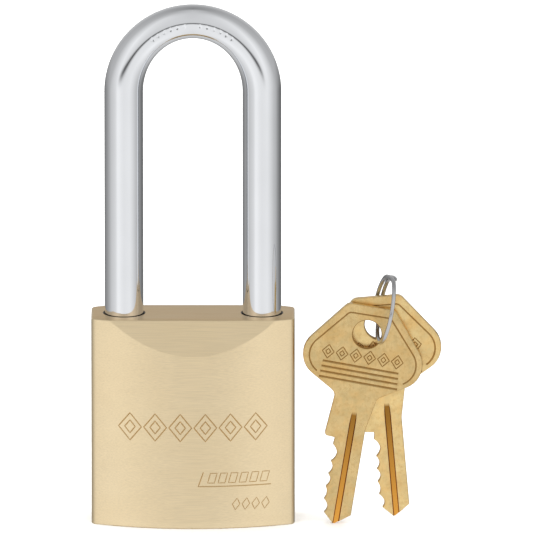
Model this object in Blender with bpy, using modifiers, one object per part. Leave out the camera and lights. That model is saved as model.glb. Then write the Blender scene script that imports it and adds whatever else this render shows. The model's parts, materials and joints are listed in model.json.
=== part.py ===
"""Solid brass padlock with a long shackle, its pin-tumbler cylinder, and its two keys on a split ring.

Metres, +Z up. The origin is the centre of the body's top face, on the solid land between the two
shackle legs. +X points to the toe leg (the one that comes free), -Y is the front. The lock stands on
its base with the shackle closed. The cylinder stands at its release position: the plug is a quarter
turn from home, the cam has let both locking balls draw in, and the driver pins ride on the plug.
"""

import math

import bmesh
import bpy
from mathutils import Matrix, Vector

# ---------------------------------------------------------------- overall sizes
BODY_WIDTH = 0.0510
BODY_HEIGHT = 0.0530
BODY_DEPTH = 0.0240  # over the two crowns
CROWN_RADIUS = 0.0620  # front and back faces, in plan
CORNER_RADIUS = 0.0018  # upright corners
EDGE_ROUND = 0.0004
BEVEL_DROP = 0.0085  # height of the slanted flat under the top edge
BEVEL_INSET = 0.0036  # how far the slanted flat leans back over that height

# ---------------------------------------------------------------- shackle
LEG_DIAMETER = 0.0097
LEG_SPACING = 0.03455
SHACKLE_CLEARANCE = 0.0705  # from the body's top face to the underside of the crown
CROWN_THICKNESS = 0.0085  # the bar thins where it is bent
CROWN_INNER_RADIUS = 0.01365
LEG_BORE_GAP = 0.0002
TOE_DEPTH = 0.0145  # how far the toe leg stands in the body when closed
HEEL_DEPTH = 0.0300
LEG_CHAMFER = 0.0008
LIFT = 0.0155
BORE_END_GAP = 0.0007
HEEL_BORE_DEPTH = 0.0460

# ---------------------------------------------------------------- locking balls and cam
BALL_DIAMETER = 0.00794
BALL_DEPTH = 0.0080  # ball centres below the top face
BALL_CLEARANCE = 0.00006  # toe ball to toe leg when released
BALL_CHANNEL_GAP = 0.00018
LOCK_DEPTH = 0.0026  # how far a locked ball stands in its leg
GROOVE_DEPTH = 0.0013  # how far the released heel ball stays in the heel leg
NOTCH_GAP = 0.00023
CAM_GAP = 0.00013
CHAMBER_RADIUS = 0.0073  # wider where the cam needs it
CHAMBER_SIDE_GAP = 0.0002  # least gap round the cam
CHAMBER_ROOF = 0.0035
CHAMBER_END_GAP = 0.0004
CAM_HEAD_HEIGHT = 0.0082
CAM_STEM_DIAMETER = 0.0080
CAM_FOOT_RADIUS = 0.0068
CAM_FOOT_HEIGHT = 0.0025
TONGUE_WIDTH = 0.0080
TONGUE_THICKNESS = 0.0020
TONGUE_HEIGHT = 0.0020
TONGUE_GAP = 0.0003

# ---------------------------------------------------------------- lock cylinder
PLUG_DIAMETER = 0.0127
PLUG_GAP = 0.0001
SHELL_WALL = 0.0013
TOWER_WIDTH = 0.0068
TOWER_REACH = 0.0170  # from the plug's axis to the end of the pin tower
CYLINDER_LENGTH = 0.0235
CYLINDER_RECESS = 0.0003  # its face is set back from the body's base
CYLINDER_GAP = 0.0002
PLUG_TAIL = 0.0018  # plug standing above the housing, with the clip's groove
CLIP_THICKNESS = 0.0006
CLIP_RADIUS = 0.0069
CLIP_GROOVE_DEPTH = 0.0008
CLIP_GAP = 0.0001
CLIP_OPENING = 0.0060

PIN_COUNT = 5
PIN_DIAMETER = 0.0027
PIN_GAP = 0.0001
FIRST_PIN = 0.0048  # from the cylinder's face, and from the key's stop shoulder
PIN_PITCH = 0.0033
DRIVER_LENGTH = 0.0045
PIN_STAND = 0.0001  # play between a pin's end and what it meets
PIN_SPRING_WIRE = 0.0004
PIN_SPRING_TURNS = 4
COVER_THICKNESS = 0.0007
COVER_WIDTH = 0.0034
COVER_INSET = 0.0006

KEYWAY_GAP = 0.00015
WARD_WIDTH = 0.0012
WARD_DEPTH = 0.0004

SCREW_DIAMETER = 0.0030
SCREW_HEAD_DIAMETER = 0.0046
SCREW_HEAD_HEIGHT = 0.0015
SCREW_X = 0.0146
SCREW_BITE = 0.0028
SCREW_GAP = 0.00012
SCREW_SLOT = 0.0008

SPRING_WIRE = 0.0009
SPRING_RADIUS = 0.0034
SPRING_TURNS = 9

# ---------------------------------------------------------------- keys (v across, u along, hole centre at 0, 0)
KEY_THICKNESS = 0.0018
KEY_HOLE_DIAMETER = 0.0072
BOW_TOP = 0.0072
BOW_TOP_HALF = 0.0059
BOW_SIDE_V = 0.0182
BOW_SIDE_U = -0.0083
BOW_SIDE_RADIUS = 0.0066
BOW_TOP_RADIUS = 0.0020
NECK_HALF = 0.0054
NECK_TOP_U = -0.0160
NECK_RADIUS = 0.0022
SHOULDER_OUT = 0.00635  # stop shoulder, on the cut side
SHOULDER_U = -0.0273
BLADE_HALF = 0.0036
BLADE_CUT_EDGE = 0.0039
BLADE_LENGTH = 0.0224  # stop shoulder to tip
TIP_V = -0.0004
TIP_LENGTH = 0.0027
CUT_ROOT_HALF = 0.0004
CUT_DEPTHS = (0.0014, 0.0009, 0.0009, 0.0006, 0.0013)
KEY_GROOVE_WIDTH = 0.0016
KEY_GROOVE_DEPTH = 0.0005
KEY_GROOVE_V = 0.00015
KEY_GROOVE_TOP = 0.0075  # above the stop shoulder

FRONT_KEY_X, FRONT_KEY_Y, FRONT_KEY_LEAN = BODY_WIDTH / 2 + 0.0181, -0.0053, 9.35
REAR_KEY_X, REAR_KEY_Z, REAR_KEY_LEAN = BODY_WIDTH / 2 + 0.0211, 0.0508 - BODY_HEIGHT, -5.0
KEY_STACK_GAP = 0.0003

RING_RADIUS = 0.0083  # to the middle of the wire
RING_WIRE_HEIGHT = 0.0010  # flattened wire, measured out from the ring's centre
RING_WIRE_WIDTH = 0.00092
RING_COIL_GAP = 0.00005
RING_SPLAY = 0.00035  # extra gap where the keys hold the coils apart
RING_SHIFT = 0.00087  # how far the second coil lies to the left of the single strand
RING_ARC = 480  # degrees of wire: one turn and a third
RING_START = 10.0  # degrees past the top where the wire starts
RING_CENTRE = (BODY_WIDTH / 2 + 0.0227, -0.0089, 0.05584 - BODY_HEIGHT)
RING_LEAN = 11.8
RING_YAW = 8.3

# ---------------------------------------------------------------- facets
BORE_SEGMENTS = 40
PLUG_SEGMENTS = 48
PIN_SEGMENTS = 16

# ---------------------------------------------------------------- places that follow from the sizes
LEG_X = LEG_SPACING / 2
LEG_R = LEG_DIAMETER / 2
BALL_R = BALL_DIAMETER / 2
BORE_R = LEG_R + LEG_BORE_GAP
CHANNEL_R = BALL_R + BALL_CHANNEL_GAP
NOTCH_R = BALL_R + NOTCH_GAP
BALL_TOUCH = LEG_X - LEG_R - BALL_R
TOE_BALL_X = BALL_TOUCH - BALL_CLEARANCE
HEEL_BALL_X = BALL_TOUCH + GROOVE_DEPTH
LOCKED_BALL_X = BALL_TOUCH + LOCK_DEPTH
CHAMBER_R = max(CHAMBER_RADIUS, LOCKED_BALL_X - BALL_R - CAM_GAP + CHAMBER_SIDE_GAP)
ARCH_Z = SHACKLE_CLEARANCE - CROWN_INNER_RADIUS
BORE_END_Z = -(TOE_DEPTH + BORE_END_GAP)
NECK_Z = -(BALL_DEPTH + LIFT)

PLUG_R = PLUG_DIAMETER / 2
PLUG_BORE_R = PLUG_R + PLUG_GAP
SHELL_R = PLUG_BORE_R + SHELL_WALL
FACE_Z = -BODY_HEIGHT + CYLINDER_RECESS
HOUSING_TOP = FACE_Z + CYLINDER_LENGTH
OPENING_TOP = HOUSING_TOP + CYLINDER_GAP
PLUG_TOP = HOUSING_TOP + PLUG_TAIL
TONGUE_TOP = PLUG_TOP + TONGUE_HEIGHT
FOOT_Z = PLUG_TOP + TONGUE_GAP
PIN_R = PIN_DIAMETER / 2
PIN_BORE_R = PIN_R + PIN_GAP
COVER_OUT_X = TOWER_REACH - COVER_INSET
COVER_IN_X = COVER_OUT_X - COVER_THICKNESS
DRIVER_IN_X = PLUG_BORE_R
KEY_CENTRE_IN_PLUG = -(PLUG_R - 0.0025 - BLADE_HALF) - 0.00015  # the blade sits a little below the plug's axis

BODY_HALF = BODY_WIDTH / 2
PIN_Z = [FACE_Z + FIRST_PIN + i * PIN_PITCH for i in range(PIN_COUNT)]


def crown_y(x):
    """Depth of the crowned face at x, measured from the body's middle plane."""
    return BODY_DEPTH / 2 - (CROWN_RADIUS - math.sqrt(CROWN_RADIUS**2 - x * x))


# ---------------------------------------------------------------- scene and helpers
def clear_scene():
    for obj in list(bpy.data.objects):
        bpy.data.objects.remove(obj, do_unlink=True)
    for coll in list(bpy.data.collections):
        bpy.data.collections.remove(coll)


clear_scene()
PARTS = bpy.data.collections.new("padlock")
CUTTERS = bpy.data.collections.new("padlock_cutters")
bpy.context.scene.collection.children.link(PARTS)
bpy.context.scene.collection.children.link(CUTTERS)


def material(name, colour, metallic, roughness):
    mat = bpy.data.materials.new(name)
    mat.use_nodes = True
    shader = mat.node_tree.nodes["Principled BSDF"]
    shader.inputs["Base Color"].default_value = (*colour, 1.0)
    shader.inputs["Metallic"].default_value = metallic
    shader.inputs["Roughness"].default_value = roughness
    return mat


BRUSHED_BRASS = material("brushed_brass", (0.66, 0.55, 0.38), 1.0, 0.38)
TURNED_BRASS = material("turned_brass", (0.70, 0.52, 0.28), 1.0, 0.3)
KEY_BRASS = material("key_brass", (0.63, 0.43, 0.18), 1.0, 0.34)
CHROME = material("shackle_chrome", (0.66, 0.67, 0.69), 1.0, 0.16)
STEEL = material("ball_steel", (0.60, 0.60, 0.62), 1.0, 0.2)
SPRING_STEEL = material("spring_steel", (0.45, 0.45, 0.47), 1.0, 0.3)


def place(obj, name, mat=None, cutter=False):
    """Names the object, puts it in its collection, and makes a cutter invisible."""
    obj.name = name
    obj.data.name = name
    for coll in list(obj.users_collection):
        coll.objects.unlink(obj)
    (CUTTERS if cutter else PARTS).objects.link(obj)
    if mat is not None:
        obj.data.materials.clear()
        obj.data.materials.append(mat)
    if cutter:
        obj.hide_render = True
        obj.display_type = "WIRE"
    return obj


def apply_scale(obj):
    obj.data.transform(Matrix.Diagonal((*obj.scale, 1.0)))
    obj.scale = (1, 1, 1)


def box(name, low, high, mat=None, cutter=False):
    centre = [(a + b) / 2 for a, b in zip(low, high)]
    bpy.ops.mesh.primitive_cube_add(size=1, location=centre)
    obj = bpy.context.object
    obj.scale = [b - a for a, b in zip(low, high)]
    apply_scale(obj)
    return place(obj, name, mat, cutter)


def cylinder(name, radius, start, end, at, axis="Z", segments=32, mat=None, cutter=False):
    """A cylinder from start to end along axis; at gives the two other coordinates, in X, Y, Z order."""
    middle, length = (start + end) / 2, end - start
    if axis == "Z":
        location, turn = (at[0], at[1], middle), (0, 0, 0)
    elif axis == "X":
        location, turn = (middle, at[0], at[1]), (0, math.pi / 2, 0)
    else:
        location, turn = (at[0], middle, at[1]), (math.pi / 2, 0, 0)
    bpy.ops.mesh.primitive_cylinder_add(
        vertices=segments, radius=radius, depth=length, location=location, rotation=turn
    )
    return place(bpy.context.object, name, mat, cutter)


def ball(name, centre, mat):
    bpy.ops.mesh.primitive_uv_sphere_add(
        segments=20, ring_count=12, radius=BALL_R, location=centre
    )
    return place(bpy.context.object, name, mat)


def to_mesh(curve_obj, name, mat=None, cutter=False, flat=False):
    """Makes a curve object a welded mesh object, so that it can be cut or joined; flat joins its coplanar faces."""
    bpy.context.view_layer.update()
    graph = bpy.context.evaluated_depsgraph_get()
    mesh = bpy.data.meshes.new_from_object(curve_obj.evaluated_get(graph))
    work = bmesh.new()
    work.from_mesh(mesh)
    bmesh.ops.remove_doubles(work, verts=work.verts, dist=1e-6)
    if flat:
        bmesh.ops.dissolve_limit(work, angle_limit=math.radians(0.2), verts=work.verts, edges=work.edges)
    bmesh.ops.recalc_face_normals(work, faces=work.faces)
    work.to_mesh(mesh)
    work.free()
    obj = bpy.data.objects.new(name, mesh)
    bpy.context.scene.collection.objects.link(obj)
    obj.matrix_world = curve_obj.matrix_world.copy()
    bpy.data.objects.remove(curve_obj, do_unlink=True)
    return place(obj, name, mat, cutter)


def outline(name, points, thickness):
    """A flat closed outline in XY, extruded by half its thickness each way."""
    curve = bpy.data.curves.new(name, "CURVE")
    curve.dimensions = "2D"
    curve.fill_mode = "BOTH"
    curve.extrude = thickness / 2
    spline = curve.splines.new("POLY")
    spline.points.add(len(points) - 1)
    for point, (x, y) in zip(spline.points, points):
        point.co = (x, y, 0, 1)
    spline.use_cyclic_u = True
    obj = bpy.data.objects.new(name, curve)
    bpy.context.scene.collection.objects.link(obj)
    return obj


def prism(name, points, low, high, mat=None, cutter=False):
    """The outline standing between two heights."""
    obj = outline(name, points, high - low)
    obj.location = (0, 0, (low + high) / 2)
    return to_mesh(obj, name, mat, cutter, flat=True)


def wire(name, points, thickness, resolution, mat, radii=None, cyclic=False):
    """A round wire or bar along points, with filled ends."""
    curve = bpy.data.curves.new(name, "CURVE")
    curve.dimensions = "3D"
    curve.bevel_depth = thickness / 2
    curve.bevel_resolution = resolution
    curve.use_fill_caps = True
    curve.twist_mode = "MINIMUM"
    spline = curve.splines.new("POLY")
    spline.points.add(len(points) - 1)
    for i, (point, co) in enumerate(zip(spline.points, points)):
        point.co = (*co, 1)
        point.radius = radii[i] if radii else 1.0
    spline.use_cyclic_u = cyclic
    obj = bpy.data.objects.new(name, curve)
    bpy.context.scene.collection.objects.link(obj)
    return place(obj, name, mat)


def boolean(obj, other, operation="DIFFERENCE"):
    modifier = obj.modifiers.new(f"{operation.lower()} {other.name}", "BOOLEAN")
    modifier.operation = operation
    modifier.solver = "EXACT"
    modifier.object = other


def bake(obj):
    """Applies the modifiers, so that later cuts start from a plain mesh."""
    bpy.context.view_layer.update()
    graph = bpy.context.evaluated_depsgraph_get()
    mesh = bpy.data.meshes.new_from_object(obj.evaluated_get(graph))
    obj.modifiers.clear()
    obj.data = mesh
    return obj


def smooth(obj, degrees=32):
    obj.data.shade_smooth()
    obj.data.set_sharp_from_angle(angle=math.radians(degrees))


def rounded(points, steps=5):
    """Corner points (x, y, radius) to an outline with each corner rounded by its radius."""
    result = []
    count = len(points)
    for i, (x, y, radius) in enumerate(points):
        if radius <= 0:
            result.append((x, y))
            continue
        ax, ay = points[i - 1][0] - x, points[i - 1][1] - y
        bx, by = points[(i + 1) % count][0] - x, points[(i + 1) % count][1] - y
        la, lb = math.hypot(ax, ay), math.hypot(bx, by)
        ax, ay, bx, by = ax / la, ay / la, bx / lb, by / lb
        between = math.acos(max(-1.0, min(1.0, ax * bx + ay * by)))
        reach = min(radius / math.tan(between / 2), 0.48 * la, 0.48 * lb)
        radius = reach * math.tan(between / 2)
        mx, my = ax + bx, ay + by
        lm = math.hypot(mx, my)
        span = radius / math.sin(between / 2)
        cx, cy = x + mx / lm * span, y + my / lm * span
        start = math.atan2(y + ay * reach - cy, x + ax * reach - cx)
        end = math.atan2(y + by * reach - cy, x + bx * reach - cx)
        turn = (end - start + math.pi) % (2 * math.pi) - math.pi
        for k in range(steps + 1):
            angle = start + turn * k / steps
            result.append((cx + radius * math.cos(angle), cy + radius * math.sin(angle)))
    return result


# ---------------------------------------------------------------- cylinder section, shared by housing and body
def keyhole_outline(grow):
    """Round shell with the pin tower standing out toward +X; grow is added all round."""
    shell, half = SHELL_R + grow, TOWER_WIDTH / 2 + grow
    end_x = TOWER_REACH - TOWER_WIDTH / 2
    meet = math.asin(half / shell)
    points = []
    for k in range(33):
        angle = meet + (2 * math.pi - 2 * meet) * k / 32
        points.append((shell * math.cos(angle), shell * math.sin(angle)))
    for k in range(13):
        angle = -math.pi / 2 + math.pi * k / 12
        points.append((end_x + half * math.cos(angle), half * math.sin(angle)))
    return points


# ---------------------------------------------------------------- body
def make_body():
    corner_y = crown_y(BODY_HALF)
    steps = 18
    front = []
    for k in range(steps + 1):
        x = -BODY_HALF + BODY_WIDTH * k / steps
        radius = CORNER_RADIUS if k in (0, steps) else 0
        front.append((x, -crown_y(x) if 0 < k < steps else -corner_y, radius))
    back = [(-x, -y, radius) for x, y, radius in front]
    body = prism("body", rounded(front + back, 4), -BODY_HEIGHT, 0, BRUSHED_BRASS)

    lean = math.atan2(BEVEL_INSET, BEVEL_DROP)
    reach = 4 * BEVEL_INSET
    for side, label in ((-1, "front"), (1, "back")):
        cutter = box(
            f"{label}_bevel_cutter",
            (-BODY_WIDTH, -reach / 2, -2 * BEVEL_DROP),
            (BODY_WIDTH, reach / 2, 2 * BEVEL_DROP),
            cutter=True,
        )
        cutter.rotation_euler = (side * lean, 0, 0)
        cutter.location = (
            0,
            side * (BODY_DEPTH / 2 - BEVEL_INSET / 2 + reach / 2 * math.cos(lean)),
            -BEVEL_DROP / 2 + reach / 2 * math.sin(lean),
        )
        boolean(body, cutter)
    edges = body.modifiers.new("edge rounding", "BEVEL")
    edges.width = EDGE_ROUND
    edges.segments = 2
    edges.limit_method = "ANGLE"
    edges.angle_limit = math.radians(50)
    bake(body)

    above, below = 0.001, -BODY_HEIGHT - 0.001
    ball_z = -BALL_DEPTH
    for cutter in (
        cylinder("toe_bore_cutter", BORE_R, BORE_END_Z, above, (LEG_X, 0), segments=BORE_SEGMENTS, cutter=True),
        cylinder("heel_bore_cutter", BORE_R, -HEEL_BORE_DEPTH, above, (-LEG_X, 0), segments=BORE_SEGMENTS, cutter=True),
        cylinder("ball_channel_cutter", CHANNEL_R, -LEG_X, BODY_HALF + 0.001, (0, ball_z), "X", 32, cutter=True),
        cylinder("cam_chamber_cutter", CHAMBER_R, OPENING_TOP - 0.001, -CHAMBER_ROOF, (0, 0), segments=PLUG_SEGMENTS, cutter=True),
        prism("cylinder_opening_cutter", keyhole_outline(CYLINDER_GAP), below, OPENING_TOP, cutter=True),
        cylinder("screw_hole_cutter", SCREW_DIAMETER / 2 + SCREW_GAP, OPENING_TOP - 0.001, BORE_END_Z + 0.001, (SCREW_X, 0), segments=20, cutter=True),
        cylinder("screw_head_cutter", SCREW_HEAD_DIAMETER / 2 + SCREW_GAP, BORE_END_Z - SCREW_HEAD_HEIGHT - PIN_STAND, BORE_END_Z + 0.001, (SCREW_X, 0), segments=20, cutter=True),
    ):
        boolean(body, cutter)
    smooth(body, 20)
    return body


# ---------------------------------------------------------------- shackle
def make_shackle():
    """The bar's centre line with a radius at each point, then the two locking notches and the heel groove."""
    crown_scale = CROWN_THICKNESS / LEG_DIAMETER
    crown_line = CROWN_INNER_RADIUS + CROWN_THICKNESS / 2
    end = 1 - LEG_CHAMFER / LEG_R
    points, radii = [], []

    def add(x, z, scale):
        points.append((x, 0, z))
        radii.append(scale)

    add(LEG_X, -TOE_DEPTH, end)
    add(LEG_X, -TOE_DEPTH + LEG_CHAMFER, 1)
    add(LEG_X, 0, 1)
    steps = 32
    for k in range(steps + 1):
        angle = math.pi * k / steps
        share = math.sin(angle) ** 2
        line = LEG_X + (crown_line - LEG_X) * share
        add(line * math.cos(angle), ARCH_Z + line * math.sin(angle), 1 + (crown_scale - 1) * share)
    add(-LEG_X, 0, 1)
    # The neck lets the released heel ball run round the leg once it is lifted.
    ball_line = LEG_X - HEEL_BALL_X
    half = math.sqrt(NOTCH_R**2 - (ball_line - LEG_R) ** 2)
    neck_steps = 8
    for k in range(neck_steps + 1):
        z = half * math.cos(math.pi * k / neck_steps)
        root = ball_line - math.sqrt(NOTCH_R**2 - z * z)
        add(-LEG_X, NECK_Z + z, min(1.0, root / LEG_R))
    add(-LEG_X, -HEEL_DEPTH + LEG_CHAMFER, 1)
    add(-LEG_X, -HEEL_DEPTH, end)

    shackle = to_mesh(wire("shackle", points, LEG_DIAMETER, 9, CHROME, radii), "shackle", CHROME)
    reach = LEG_DIAMETER
    toe_notch = cylinder("toe_notch_cutter", NOTCH_R, -reach, reach, (LOCKED_BALL_X, -BALL_DEPTH), "Y", 36, cutter=True)
    heel_notch = cylinder("heel_notch_cutter", NOTCH_R, -reach, reach, (-LOCKED_BALL_X, -BALL_DEPTH), "Y", 36, cutter=True)
    heel_groove = cylinder("heel_groove_cutter", NOTCH_R, NECK_Z, -BALL_DEPTH, (-HEEL_BALL_X, 0), segments=36, cutter=True)
    for cutter in (toe_notch, heel_notch, heel_groove):
        boolean(shackle, cutter)
    smooth(shackle, 35)
    return shackle


def make_shackle_spring():
    """Coil between the heel leg's end and the bottom of its bore, with a closed turn at each end."""
    low = -HEEL_BORE_DEPTH + SPRING_WIRE / 2 + PIN_STAND
    high = -HEEL_DEPTH - SPRING_WIRE / 2 - 2 * PIN_STAND
    per_turn = 12
    count = SPRING_TURNS * per_turn
    points = []
    ends = 1.18 * SPRING_WIRE
    for k in range(count + 1):
        turns = k / per_turn
        if turns <= 1:
            z = low + ends * turns
        elif turns >= SPRING_TURNS - 1:
            z = high - ends * (SPRING_TURNS - turns)
        else:
            z = low + ends + (high - low - 2 * ends) * (turns - 1) / (SPRING_TURNS - 2)
        angle = 2 * math.pi * turns
        points.append((-LEG_X + SPRING_RADIUS * math.cos(angle), SPRING_RADIUS * math.sin(angle), z))
    return wire("shackle_spring", points, SPRING_WIRE, 1, SPRING_STEEL)


# ---------------------------------------------------------------- balls and cam
def pitch_radius(turn):
    """Ball-centre distance for the cam direction turn, in quarter turns: released toe, locked toe, released heel, locked heel."""
    stations = (TOE_BALL_X, LOCKED_BALL_X, HEEL_BALL_X, LOCKED_BALL_X, TOE_BALL_X)
    turn %= 4
    first = min(int(turn), 3)
    return stations[first] + (stations[first + 1] - stations[first]) * (turn - first)


def cam_outline():
    """The inner envelope of the ball as the cam turns under it."""
    reach = BALL_R + CAM_GAP
    points = []
    for k in range(72):
        angle = 2 * math.pi * k / 72
        nearest = CHAMBER_R
        for j in range(-60, 61):
            off = math.radians(j)
            centre = pitch_radius((angle + off) / (math.pi / 2))
            side = centre * math.sin(off)
            if abs(side) < reach:
                nearest = min(nearest, centre * math.cos(off) - math.sqrt(reach**2 - side**2))
        points.append((nearest * math.cos(angle), nearest * math.sin(angle)))
    return points


def make_cam():
    head_top = -CHAMBER_ROOF - CHAMBER_END_GAP
    head_low = head_top - CAM_HEAD_HEIGHT
    cam = prism("cam", cam_outline(), head_low, head_top, TURNED_BRASS)
    stem = cylinder("cam_stem_form", CAM_STEM_DIAMETER / 2, FOOT_Z + CAM_FOOT_HEIGHT / 2, head_low + 0.001, (0, 0), cutter=True)
    foot = cylinder("cam_foot_form", CAM_FOOT_RADIUS, FOOT_Z, FOOT_Z + CAM_FOOT_HEIGHT, (0, 0), cutter=True)
    boolean(cam, stem, "UNION")
    boolean(cam, foot, "UNION")
    slot = box(
        "cam_slot_cutter",
        (-TONGUE_THICKNESS / 2 - TONGUE_GAP / 2, -TONGUE_WIDTH / 2 - TONGUE_GAP, FOOT_Z - 0.001),
        (TONGUE_THICKNESS / 2 + TONGUE_GAP / 2, TONGUE_WIDTH / 2 + TONGUE_GAP, TONGUE_TOP + TONGUE_GAP),
        cutter=True,
    )
    boolean(cam, slot)
    smooth(cam)
    return cam


# ---------------------------------------------------------------- lock cylinder
def make_housing():
    housing = prism("cylinder_housing", keyhole_outline(0), FACE_Z, HOUSING_TOP, TURNED_BRASS)
    over = 0.001
    cutters = [
        cylinder("plug_bore_cutter", PLUG_BORE_R, FACE_Z - over, HOUSING_TOP + over, (0, 0), segments=PLUG_SEGMENTS, cutter=True),
        cylinder("housing_screw_cutter", SCREW_DIAMETER / 2 + SCREW_GAP, HOUSING_TOP - SCREW_BITE - PIN_STAND, HOUSING_TOP + over, (SCREW_X, 0), segments=20, cutter=True),
        box(
            "cover_slot_cutter",
            (COVER_IN_X - PIN_GAP, -COVER_WIDTH / 2 - PIN_GAP, PIN_Z[0] - PIN_BORE_R - 2 * PIN_GAP),
            (TOWER_REACH + over, COVER_WIDTH / 2 + PIN_GAP, PIN_Z[-1] + PIN_BORE_R + 2 * PIN_GAP),
            cutter=True,
        ),
    ]
    for i, z in enumerate(PIN_Z, 1):
        cutters.append(cylinder(f"driver_bore_cutter_{i}", PIN_BORE_R, PLUG_R - over, COVER_IN_X, (0, z), "X", PIN_SEGMENTS, cutter=True))
    for cutter in cutters:
        boolean(housing, cutter)
    smooth(housing, 20)
    return housing


def make_plug():
    """The plug at its release position: its pin side points to +Y, a quarter turn from home."""
    over = 0.001
    plug = cylinder("plug", PLUG_R, FACE_Z, PLUG_TOP, (0, 0), segments=PLUG_SEGMENTS, mat=TURNED_BRASS)
    tongue = box(
        "plug_tongue_form",
        (-TONGUE_THICKNESS / 2, -TONGUE_WIDTH / 2, PLUG_TOP - over),
        (TONGUE_THICKNESS / 2, TONGUE_WIDTH / 2, TONGUE_TOP),
        cutter=True,
    )
    boolean(plug, tongue, "UNION")
    clip_low = HOUSING_TOP + CLIP_GAP
    groove = cylinder("clip_groove_form", PLUG_R + over, clip_low, clip_low + CLIP_THICKNESS + 2 * CLIP_GAP, (0, 0), segments=PLUG_SEGMENTS, cutter=True)
    core = cylinder("clip_groove_core", PLUG_R - CLIP_GROOVE_DEPTH, clip_low - over, clip_low + CLIP_THICKNESS + over, (0, 0), segments=PLUG_SEGMENTS, cutter=True)
    boolean(groove, core)
    boolean(plug, groove)

    # In the plug's own frame the blade lies across, its cut edge toward +Y, and its two wards stand from the walls.
    half = KEY_THICKNESS / 2 + KEYWAY_GAP
    top = BLADE_CUT_EDGE + KEY_CENTRE_IN_PLUG + KEYWAY_GAP
    low = -BLADE_HALF + KEY_CENTRE_IN_PLUG - KEYWAY_GAP
    depth = FACE_Z + BLADE_LENGTH + KEYWAY_GAP
    ward = -KEY_GROOVE_V + KEY_CENTRE_IN_PLUG
    thin = half - WARD_DEPTH
    for label, wide, start, end in (
        ("middle", thin, low, top),
        ("lower", half, low, ward - WARD_WIDTH / 2),
        ("upper", half, ward + WARD_WIDTH / 2, top),
    ):
        boolean(plug, box(f"keyway_{label}_cutter", (-wide, start, FACE_Z - over), (wide, end, depth), cutter=True))
    for i, z in enumerate(PIN_Z, 1):
        boolean(plug, cylinder(f"key_pin_bore_cutter_{i}", PIN_BORE_R, ward + WARD_WIDTH / 2 + PIN_GAP, PLUG_R + over, (0, z), "Y", PIN_SEGMENTS, cutter=True))
    smooth(plug, 20)
    return plug


def make_key_pin(i):
    """Pointed pin standing in the plug with its flat end at the shear line, ready for cut i."""
    cut_y = BLADE_CUT_EDGE - CUT_DEPTHS[i] + KEY_CENTRE_IN_PLUG
    flat = PLUG_R - PIN_STAND
    cone = 0.6 * PIN_R
    profile = [(0, flat), (PIN_R, flat), (PIN_R, cut_y + cone), (0.4 * PIN_R, cut_y), (0, cut_y)]
    pin = turned(f"key_pin_{i + 1}", profile, PIN_SEGMENTS, TURNED_BRASS)
    pin.location = (0, 0, PIN_Z[i])
    pin.rotation_euler = (-math.pi / 2, 0, 0)
    return pin


def turned(name, profile, segments, mat):
    """A solid of revolution about Z from a profile of (radius, height), top to bottom."""
    mesh = bpy.data.meshes.new(name)
    mesh.from_pydata([(r, 0, z) for r, z in profile], [(k, k + 1) for k in range(len(profile) - 1)], [])
    obj = bpy.data.objects.new(name, mesh)
    bpy.context.scene.collection.objects.link(obj)
    place(obj, name, mat)
    screw = obj.modifiers.new("turn", "SCREW")
    screw.axis = "Z"
    screw.steps = segments
    screw.render_steps = segments
    screw.use_merge_vertices = True
    screw.merge_threshold = 1e-6
    screw.use_smooth_shade = True
    return obj


def make_driver_pin(i):
    chamfer = 0.12 * PIN_DIAMETER
    length = DRIVER_LENGTH
    profile = [
        (0, length), (PIN_R - chamfer, length), (PIN_R, length - chamfer),
        (PIN_R, chamfer), (PIN_R - chamfer, 0), (0, 0),
    ]
    pin = turned(f"driver_pin_{i + 1}", profile, PIN_SEGMENTS, TURNED_BRASS)
    pin.location = (DRIVER_IN_X, 0, PIN_Z[i])
    pin.rotation_euler = (0, math.pi / 2, 0)
    return pin


def make_pin_spring(i):
    low = DRIVER_IN_X + DRIVER_LENGTH + PIN_STAND + PIN_SPRING_WIRE / 2
    high = COVER_IN_X - PIN_GAP - PIN_STAND - PIN_SPRING_WIRE / 2
    radius = PIN_R - PIN_SPRING_WIRE / 2 - PIN_GAP
    per_turn = 10
    count = PIN_SPRING_TURNS * per_turn
    points = []
    for k in range(count + 1):
        angle = 2 * math.pi * k / per_turn
        points.append((low + (high - low) * k / count, radius * math.cos(angle), PIN_Z[i] + radius * math.sin(angle)))
    return wire(f"pin_spring_{i + 1}", points, PIN_SPRING_WIRE, 0, SPRING_STEEL)


def make_cover():
    return box(
        "chamber_cover",
        (COVER_IN_X, -COVER_WIDTH / 2, PIN_Z[0] - PIN_BORE_R),
        (COVER_OUT_X, COVER_WIDTH / 2, PIN_Z[-1] + PIN_BORE_R),
        TURNED_BRASS,
    )


def make_clip():
    """C-shaped clip in the plug's groove, opening toward -X."""
    low = HOUSING_TOP + 2 * CLIP_GAP
    inner = PLUG_R - CLIP_GROOVE_DEPTH + CLIP_GAP
    clip = cylinder("plug_clip", CLIP_RADIUS, low, low + CLIP_THICKNESS, (0, 0), segments=PLUG_SEGMENTS, mat=SPRING_STEEL)
    boolean(clip, cylinder("clip_hole_cutter", inner, low - 0.001, low + 0.001 + CLIP_THICKNESS, (0, 0), segments=PLUG_SEGMENTS, cutter=True))
    boolean(clip, box("clip_gap_cutter", (-2 * CLIP_RADIUS, -CLIP_OPENING / 2, low - 0.001), (0, CLIP_OPENING / 2, low + 0.001 + CLIP_THICKNESS), cutter=True))
    smooth(clip)
    return clip


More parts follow.
